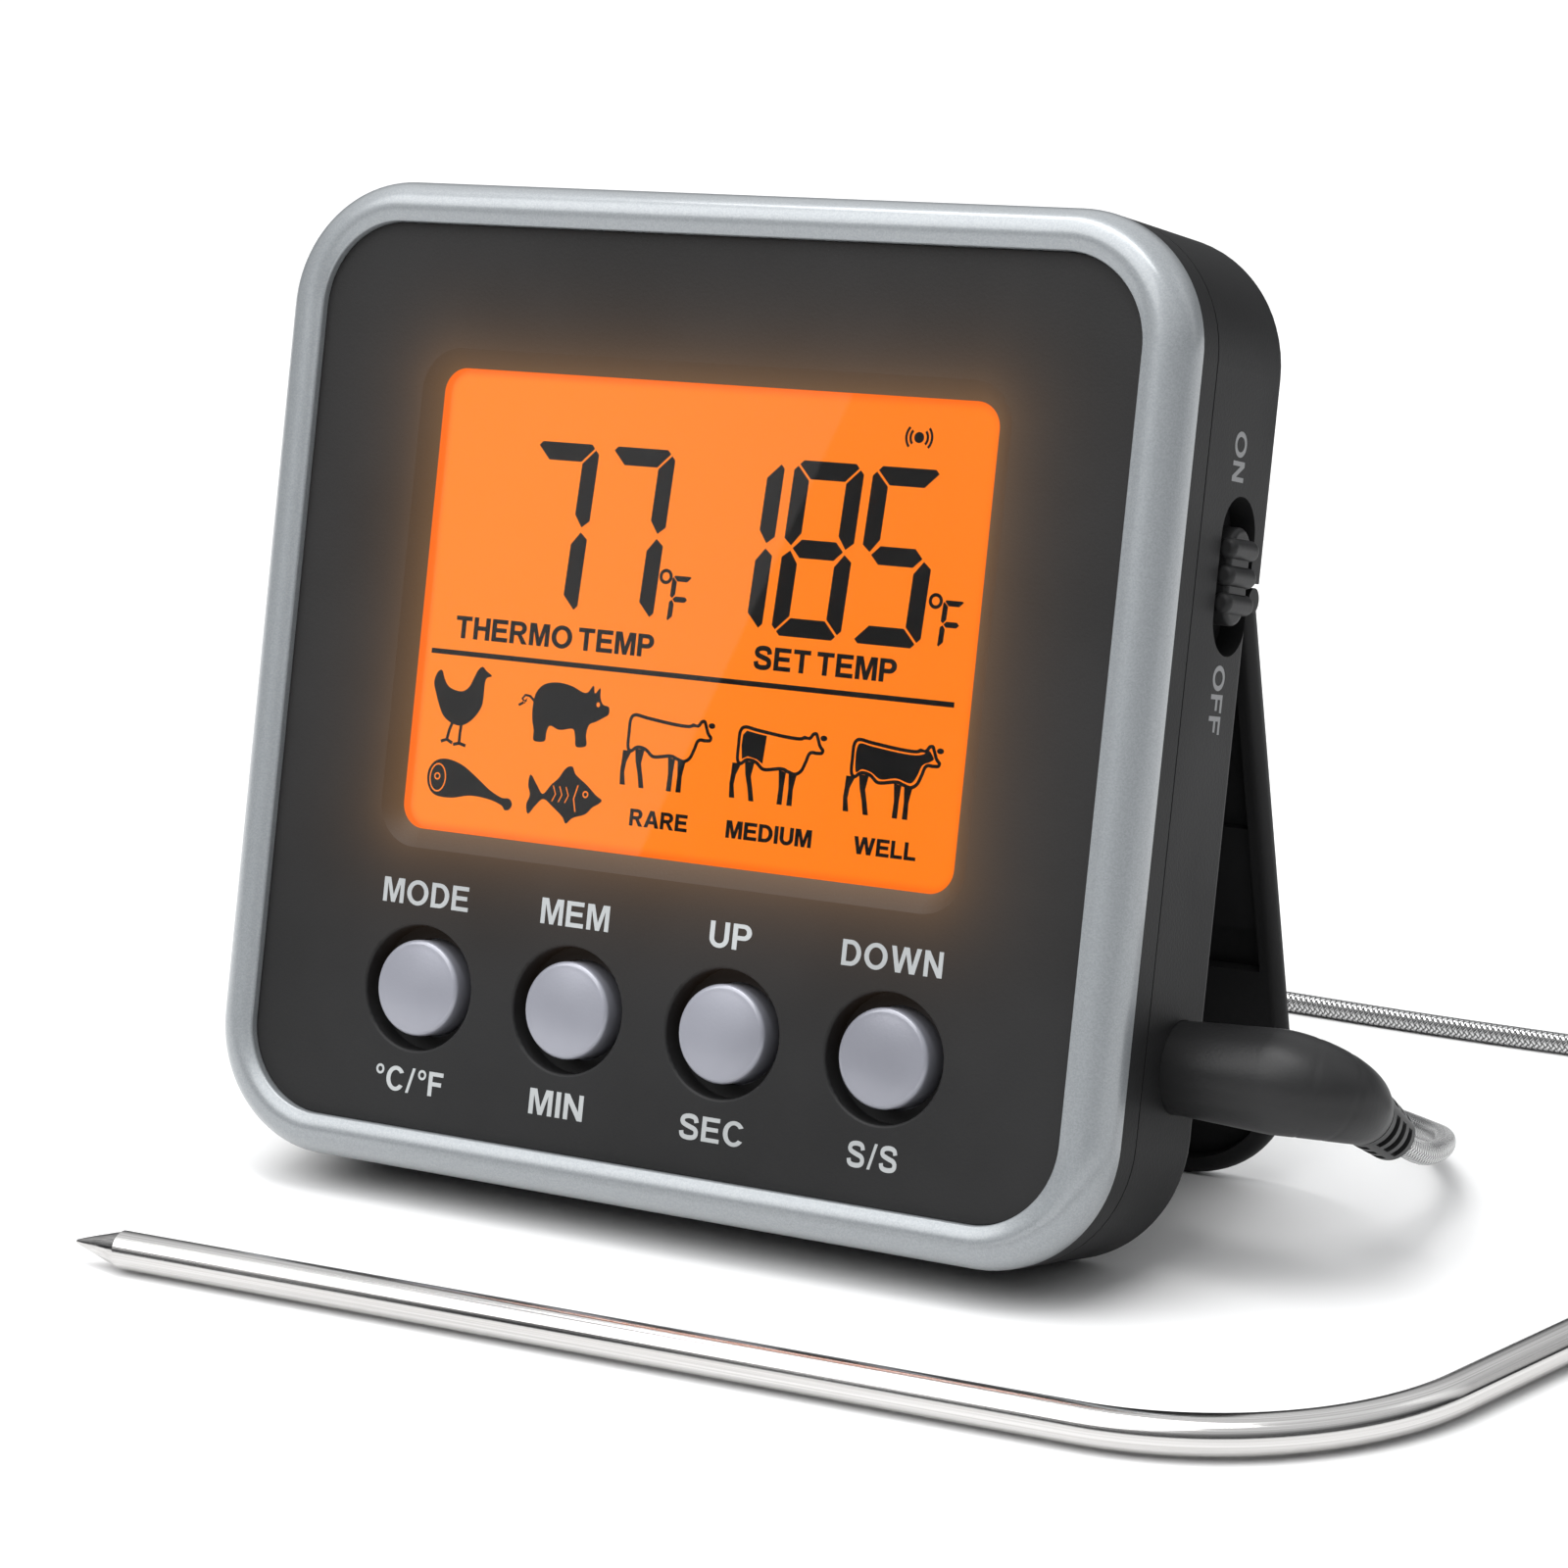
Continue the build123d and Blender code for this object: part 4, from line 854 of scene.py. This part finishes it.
figures = []
for sign, middle in (("7", -13.55), ("7", -6.52), ("1", 3.32), ("8", 10.28), ("5", 17.15)):
    figures += [filled(loop) for loop in figure_loops(sign, middle, 5.9)]
for ring_x, f_x in ((-2.94, -1.5), (20.85, 22.35)):
    figures.append(filled(disc_loop(ring_x, 9.62, 0.6, 0.6), disc_loop(ring_x, 9.62, 0.33, 0.33)))
    figures += [filled(loop) for loop in figure_loops("F", f_x, 6.1, 1.85, 3.65, 0.44, 0.04)]
ALARM_AT, ALARM_SPREAD = (18.02, 21.73), 42
figures.append(filled(disc_loop(*ALARM_AT, 0.42, 0.42)))
for radius in (0.74, 1.1):
    for facing in (0, 180):
        figures.append(filled(arc_loop(*ALARM_AT, radius, 0.2, facing - ALARM_SPREAD, facing + ALARM_SPREAD)))
lay_marks("display_figures", figures, (0, INK_DEPTH, 0), ink)

WORDS = [("THERMO TEMP", -22.0, -3.45, 3.25, 5.02), ("SET TEMP", 5.69, 18.1, 3.18, 5.0),
         ("RARE", -4.0, 1.2, -9.89, -8.62), ("MEDIUM", 4.76, 12.28, -9.92, -8.6),
         ("WELL", 16.03, 21.33, -9.9, -8.62)]
words = [shape for word in WORDS for shape in lettering(*word, grown=0.03)]
words.append(filled(np.array([(-24.15, 1.85), (23.3, 1.81), (23.3, 2.22), (-24.15, 2.26)])))
lay_marks("display_words", words, (0, INK_DEPTH, 0), ink)

# ---- pictures on the display: plain outlines of the meats ------------------------------------
# More dark segments of the same glass: hen, pig, drumstick and fish, and one cow three times with
# more and more of its hide filled, for rare, medium and well done.
HEN = [(0.7, 3.1), (0.3, 4.0), (0.0, 4.9), (0.25, 5.7), (0.65, 5.9), (1.0, 5.2), (1.4, 4.7), (2.0, 4.45),
       (2.8, 4.4), (3.4, 4.8), (3.8, 5.6), (4.1, 6.2), (4.5, 6.5), (4.9, 6.2), (5.45, 5.85), (5.0, 5.65),
       (4.85, 5.2), (4.85, 4.4), (4.8, 3.5), (4.4, 2.7), (3.7, 2.0), (2.9, 1.65), (2.0, 1.8), (1.2, 2.3)]
HEN_LEGS = [[(2.2, 2.0), (1.9, 1.2), (1.75, 0.45)], [(3.0, 1.8), (2.95, 1.0), (2.95, 0.2)],
            [(1.2, 0.25), (1.75, 0.45), (2.3, 0.2)], [(2.4, 0.1), (2.95, 0.25), (3.6, 0.1)]]
PIG = [(1.5, 2.9), (1.7, 3.9), (2.4, 4.6), (3.6, 4.85), (4.9, 4.7), (6.0, 4.3), (6.5, 4.35), (6.95, 4.9),
       (7.15, 4.3), (7.6, 4.75), (7.7, 4.0), (8.0, 3.5), (8.55, 3.35), (8.6, 2.8), (8.2, 2.5), (7.5, 2.1),
       (6.9, 1.8), (6.7, 1.0), (6.8, 0.15), (5.9, 0.0), (5.7, 0.8), (5.4, 1.35), (4.2, 1.15), (3.3, 1.4),
       (3.0, 0.9), (2.9, 0.15), (1.9, 0.1), (1.8, 0.9), (1.55, 1.8)]
PIG_TAIL = [(1.6, 3.2), (1.15, 3.55), (0.7, 3.6), (0.45, 3.3), (0.7, 3.0), (0.95, 3.3), (0.6, 3.0),
            (0.15, 2.75)]
DRUMSTICK = [(0.25, 1.4), (0.2, 2.5), (0.8, 3.3), (1.9, 3.55), (3.4, 3.2), (4.8, 2.4), (6.2, 1.5), (7.4, 1.0),
             (8.1, 1.0), (8.45, 0.6), (8.25, 0.15), (7.8, 0.05), (7.45, 0.4), (6.2, 0.75), (4.4, 0.85),
             (2.6, 0.5), (1.0, 0.6)]
FISH = [(1.6, 2.2), (2.3, 3.0), (2.9, 3.55), (3.5, 4.4), (4.1, 4.6), (4.5, 4.0), (5.6, 3.3), (6.5, 2.6),
        (7.1, 2.25), (6.8, 1.9), (6.3, 1.6), (5.7, 1.0), (4.6, 0.6), (4.0, 0.1), (3.6, 0.6), (2.6, 1.3),
        (1.7, 1.8), (1.0, 1.2), (0.4, 0.5), (0.15, 1.2), (0.4, 2.0), (0.15, 2.8), (0.3, 3.6), (1.0, 2.8)]
COW = [(0.45, 4.2), (0.5, 5.3), (1.0, 5.75), (2.2, 5.6), (4.5, 5.35), (5.9, 5.3), (6.3, 5.45), (6.7, 5.4),
       (7.0, 5.75), (7.4, 5.78), (7.65, 5.3), (7.85, 4.85), (8.15, 4.5), (8.0, 4.15), (7.5, 4.08),
       (7.0, 4.05), (6.75, 3.4), (6.4, 2.65), (5.8, 2.3), (5.1, 2.45), (4.5, 2.6), (3.0, 2.4), (2.2, 2.9),
       (1.5, 3.0), (0.95, 2.65), (0.5, 3.0)]
COW_LEGS = [[(0.2, 2.8), (1.0, 2.8), (0.6, 1.9), (0.5, 1.1), (0.68, 0.1), (0.2, 0.1), (0.12, 1.2),
             (0.18, 2.0)],
            [(1.3, 3.0), (2.15, 3.0), (1.95, 1.9), (2.2, 0.9), (2.4, 0.0), (1.95, 0.0), (1.75, 1.0),
             (1.45, 2.0)],
            [(4.35, 2.65), (5.0, 2.5), (4.92, 1.4), (4.9, 0.0), (4.45, 0.0), (4.5, 1.3)],
            [(5.25, 2.45), (5.95, 2.4), (5.75, 1.3), (5.78, 0.0), (5.32, 0.0), (5.35, 1.3)]]


def shrunk(loop, inset):
    """An outline moved inwards by a distance, along the mean of its two edges' normals."""
    ahead, behind = unit(np.roll(loop, -1, 0) - loop), unit(loop - np.roll(loop, 1, 0))
    way = unit(ahead + behind)
    turning = np.sum(loop[:, 0] * np.roll(loop[:, 1], -1) - np.roll(loop[:, 0], -1) * loop[:, 1])
    return loop + np.sign(turning) * inset * np.column_stack([-way[:, 1], way[:, 0]])


def moved(shapes, x, z):
    """Flat shapes shifted to their place on the display."""
    return [(points + [x, z, 0], faces) for points, faces in shapes]


hen = [filled(soft_loop(HEN)), *[filled(stroke(leg, 0.26)) for leg in HEN_LEGS]]
pig = [filled(soft_loop(PIG), disc_loop(7.55, 3.45, 0.17, 0.2, 12)), filled(stroke(PIG_TAIL, 0.2))]
cut_face = disc_loop(1.15, 2.0, 0.8, 1.15)
drumstick = [filled(soft_loop(DRUMSTICK), cut_face, shrunk(cut_face, 0.12), disc_loop(1.1, 2.1, 0.3, 0.3, 14),
                    disc_loop(1.1, 2.1, 0.18, 0.18, 14))]
scales = [stroke([(x, 1.7), (x + 0.28, 2.3), (x, 2.95)], 0.1) for x in (2.5, 3.1, 3.7)]
gill = stroke([(4.75, 1.1), (4.5, 2.1), (4.8, 3.2)], 0.12)
fish = [filled(soft_loop(FISH), *scales, gill, disc_loop(5.55, 2.55, 0.28, 0.28, 14),
               disc_loop(5.55, 2.55, 0.16, 0.16, 14))]
cow_edge = soft_loop(COW)
cow = [filled(cow_edge, shrunk(cow_edge, 0.27)), *[filled(leg) for leg in COW_LEGS],
       filled(disc_loop(8.0, 5.4, 0.3, 0.22, 14))]
BACK, LOIN = [(0.85, 4.2), (0.9, 5.0), (1.2, 5.35), (2.2, 5.2)], [(2.3, 3.25), (1.5, 3.4), (1.0, 3.15)]
hide = soft_loop(BACK + [(4.5, 4.95), (5.9, 4.9), (6.6, 5.05), (7.0, 5.35), (7.3, 5.1), (7.5, 4.75),
                         (7.2, 4.5), (6.6, 4.2), (6.3, 3.5), (6.0, 2.95), (5.6, 2.75), (4.5, 3.0), (3.2, 2.8)]
                 + LOIN)
haunch = np.array(BACK + [(3.0, 5.12), (2.85, 2.95)] + LOIN)
pictures = moved(hen, -23.6, -5.35) + moved(pig, -15.5, -4.3) + moved(drumstick, -23.5, -10.0)
pictures += moved(fish, -13.85, -10.5)
for cow_x, inside in ((-5.45, []), (4.5, [filled(haunch)]), (14.55, [filled(hide)])):
    pictures += moved(cow + inside, cow_x, -6.93)
lay_marks("display_pictures", pictures, (0, INK_DEPTH, 0), ink)

# ---- printed words on the fascia and the side ------------------------------------------------
# One pass of light grey pad-print ink, laid straight on the moulded plastic.  The words beside the
# power switch are in a darker copy of the same ink: painted shade for the dimmer side.
print_grey = moulded("print_grey", (0.38, 0.395, 0.40), 0.6, grain=6000.0, relief=0.000005)
UPPER_ROW, LOWER_ROW = (-18.3, -16.28), (-33.22, -31.2)
LABELS = [("MODE", -25.4, -17.2, *UPPER_ROW), ("MEM", -10.3, -4.0, *UPPER_ROW),
          ("UP", 5.15, 8.85, *UPPER_ROW), ("DOWN", 16.8, 25.4, *UPPER_ROW),
          ("°C/°F", -24.4, -17.9, *LOWER_ROW), ("MIN", -9.65, -4.65, *LOWER_ROW),
          ("SEC", 4.2, 9.85, *LOWER_ROW), ("S/S", 19.0, 23.25, *LOWER_ROW)]
lay_marks("fascia_words", [shape for label in LABELS for shape in lettering(*label)], (0, -INK_HALF, 0),
          print_grey)


def side_marks(points):
    """Flat x, y and thickness onto the right side: x down the case, y into its depth, thickness outwards."""
    return np.column_stack([points[:, 2], points[:, 1], -points[:, 0]])


SIDE_X = 40.405              # the case's side
side_words = lettering("ON", -24.4, -20.65, 9.2, 11.3) + lettering("OFF", -6.95, -1.8, 9.6, 11.7)
# A darker copy of the print ink: painted shade for the less lit side of the case.
shaded_side_grey = moulded("shaded_side_grey", (0.24, 0.245, 0.25), 0.6, grain=6000.0, relief=0.000005)
lay_marks("side_words", side_words, (SIDE_X, 0, 0), shaded_side_grey, turn=side_marks)

# ---- buttons: crowned caps that work the switches on the board -------------------------------
# Lavender-grey ABS with a pearly satin skin.  Each is one moulding: a crowned cap in its well, a
# flange that holds it behind the fascia, and a stem on its switch.
KEYS, BUTTON_X, BUTTON_Z = ("mode", "mem", "up", "down"), (-21.21, -7.07, 7.07, 21.21), -24.8
CAP_R, CAP_TOP, CROWN, RIM_R = 3.83, -0.5, 22.0, 0.4
FLANGE_R, FLANGE_FRONT, FLANGE_BACK, STEM_R, STEM_END = CAP_R + 0.75, 3.05, 3.45, 1.2, 4.9


def cap_profile():
    """(radius, depth): a shallow sphere, a rim radius, the side, the flange and the stem."""
    reach = CAP_R - RIM_R
    crown = [(r, CAP_TOP + CROWN - np.sqrt(CROWN ** 2 - r * r)) for r in np.linspace(0.02, reach, 12)]
    rim_y = crown[-1][1]
    rim = [(reach + RIM_R * sin(a), rim_y + RIM_R * (1 - cos(a))) for a in np.linspace(0.15, pi / 2, 9)]
    flange = [(CAP_R, FLANGE_FRONT), (FLANGE_R, FLANGE_FRONT), (FLANGE_R, FLANGE_BACK)]
    return np.array(crown + rim + flange + [(STEM_R, FLANGE_BACK), (STEM_R, STEM_END)])


def turned(profile, x, z, sides=64):
    """A profile turned round an axis square to the fascia: x + r cos a, depth, z + r sin a."""
    angle = np.linspace(0, tau, sides, endpoint=False)
    radius, depth = profile[:, :1], np.broadcast_to(profile[:, 1:], (len(profile), sides))
    return np.stack([x + radius * np.cos(angle), depth, z + radius * np.sin(angle)], axis=-1)


lavender = moulded("button_lavender", (0.27, 0.275, 0.315), 0.3, grain=4200.0, relief=0.000012, Metallic=0.25,
                   Coat_Weight=0.4, Coat_Roughness=0.15)
for key, x in zip(KEYS, BUTTON_X):
    cap = add_piece(f"cap_{key}", on_case(turned(cap_profile(), x, BUTTON_Z)), lavender, f"{key}_button")
    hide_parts(f"button_{key}")

# ---- power switch knob and the small black mouldings -----------------------------------------
# Plain black nylon and ABS, glossier than the case.  The knob slides in the side slot on its
# switch; the others sit on the board inside.
switch_black = moulded("switch_black", (0.014, 0.014, 0.0145), 0.5, grain=3000.0, Specular_IOR_Level=0.25)
dress(switch_black, "power_switch_knob", "power_switch_body", "jack_socket", "buzzer", "controller_blob",
      *[f"key_switch_{key}" for key in KEYS])

# ---- screws, hinge pins, contacts and magnets ------------------------------------------------
# Zinc-plated steel, slightly clouded.  Four screws hold the case's halves, two pins the stand, and
# the magnets are pressed into the stand's inside.
zinc, tree, shader = finish_of("zinc_plate", (0.55, 0.55, 0.53), 0.32, Metallic=1.0)
clouded = noise(tree, 700.0, 4.0)
feed(shader, Base_Color=tint(tree, clouded, (0.44, 0.44, 0.42), (0.64, 0.64, 0.63)),
     Roughness=ramp(tree, clouded, 0.3, 0.7, 0.24, 0.42))
dress(zinc, "case_screws", "hinge_pin_left", "hinge_pin_right", "contact_plates", "contact_springs",
      "stand_magnets")

# ---- cells: two steel cans in printed sleeves ------------------------------------------------
# Two AAA cells behind the door.  Each has a dark plastic sleeve with one copper-coloured band, and
# its steel shows at both ends.
SLEEVE_TO, BAND_AT, BAND_HALF = 20.6, 12.5, 6.0
sleeve, tree, shader = finish_of("cell_sleeve", (0.05, 0.055, 0.06), 0.3, Coat_Weight=0.5)
along_case = put(tree, "ShaderNodeGroup", node_tree=upright).outputs["X"]
bare_end = math(tree, "GREATER_THAN", math(tree, "ABSOLUTE", along_case), SLEEVE_TO)
from_band = math(tree, "ABSOLUTE", math(tree, "SUBTRACT", along_case, BAND_AT))
in_band = math(tree, "LESS_THAN", from_band, BAND_HALF)
sleeve_tone = tint(tree, in_band, (0.03, 0.033, 0.036), (0.62, 0.30, 0.06))
feed(shader, Base_Color=tint(tree, bare_end, sleeve_tone, (0.62, 0.62, 0.60)), Metallic=bare_end)
dress(sleeve, "battery_1", "battery_2")

# ---- board and display holder ----------------------------------------------------------------
# A green glass-fibre board behind the fascia.  A white frame holds the display glass over it, and
# a grey rubber strip joins the two.
board_green, tree, shader = finish_of("board_green", (0.02, 0.12, 0.05), 0.35)
tracks = put(tree, "ShaderNodeTexBrick", {"Vector": object_place(tree), "Color1": (0.02, 0.13, 0.05, 1),
                                          "Color2": (0.02, 0.10, 0.04, 1), "Mortar": (0.05, 0.22, 0.09, 1),
                                          "Scale": 260.0})
feed(shader, Base_Color=tracks.outputs["Color"])
dress(board_green, "circuit_board")
holder_white = moulded("holder_white", (0.72, 0.72, 0.70), 0.5)
dress(holder_white, "display_frame")
strip_grey = moulded("strip_grey", (0.22, 0.22, 0.23), 0.6)
dress(strip_grey, "zebra_strip")
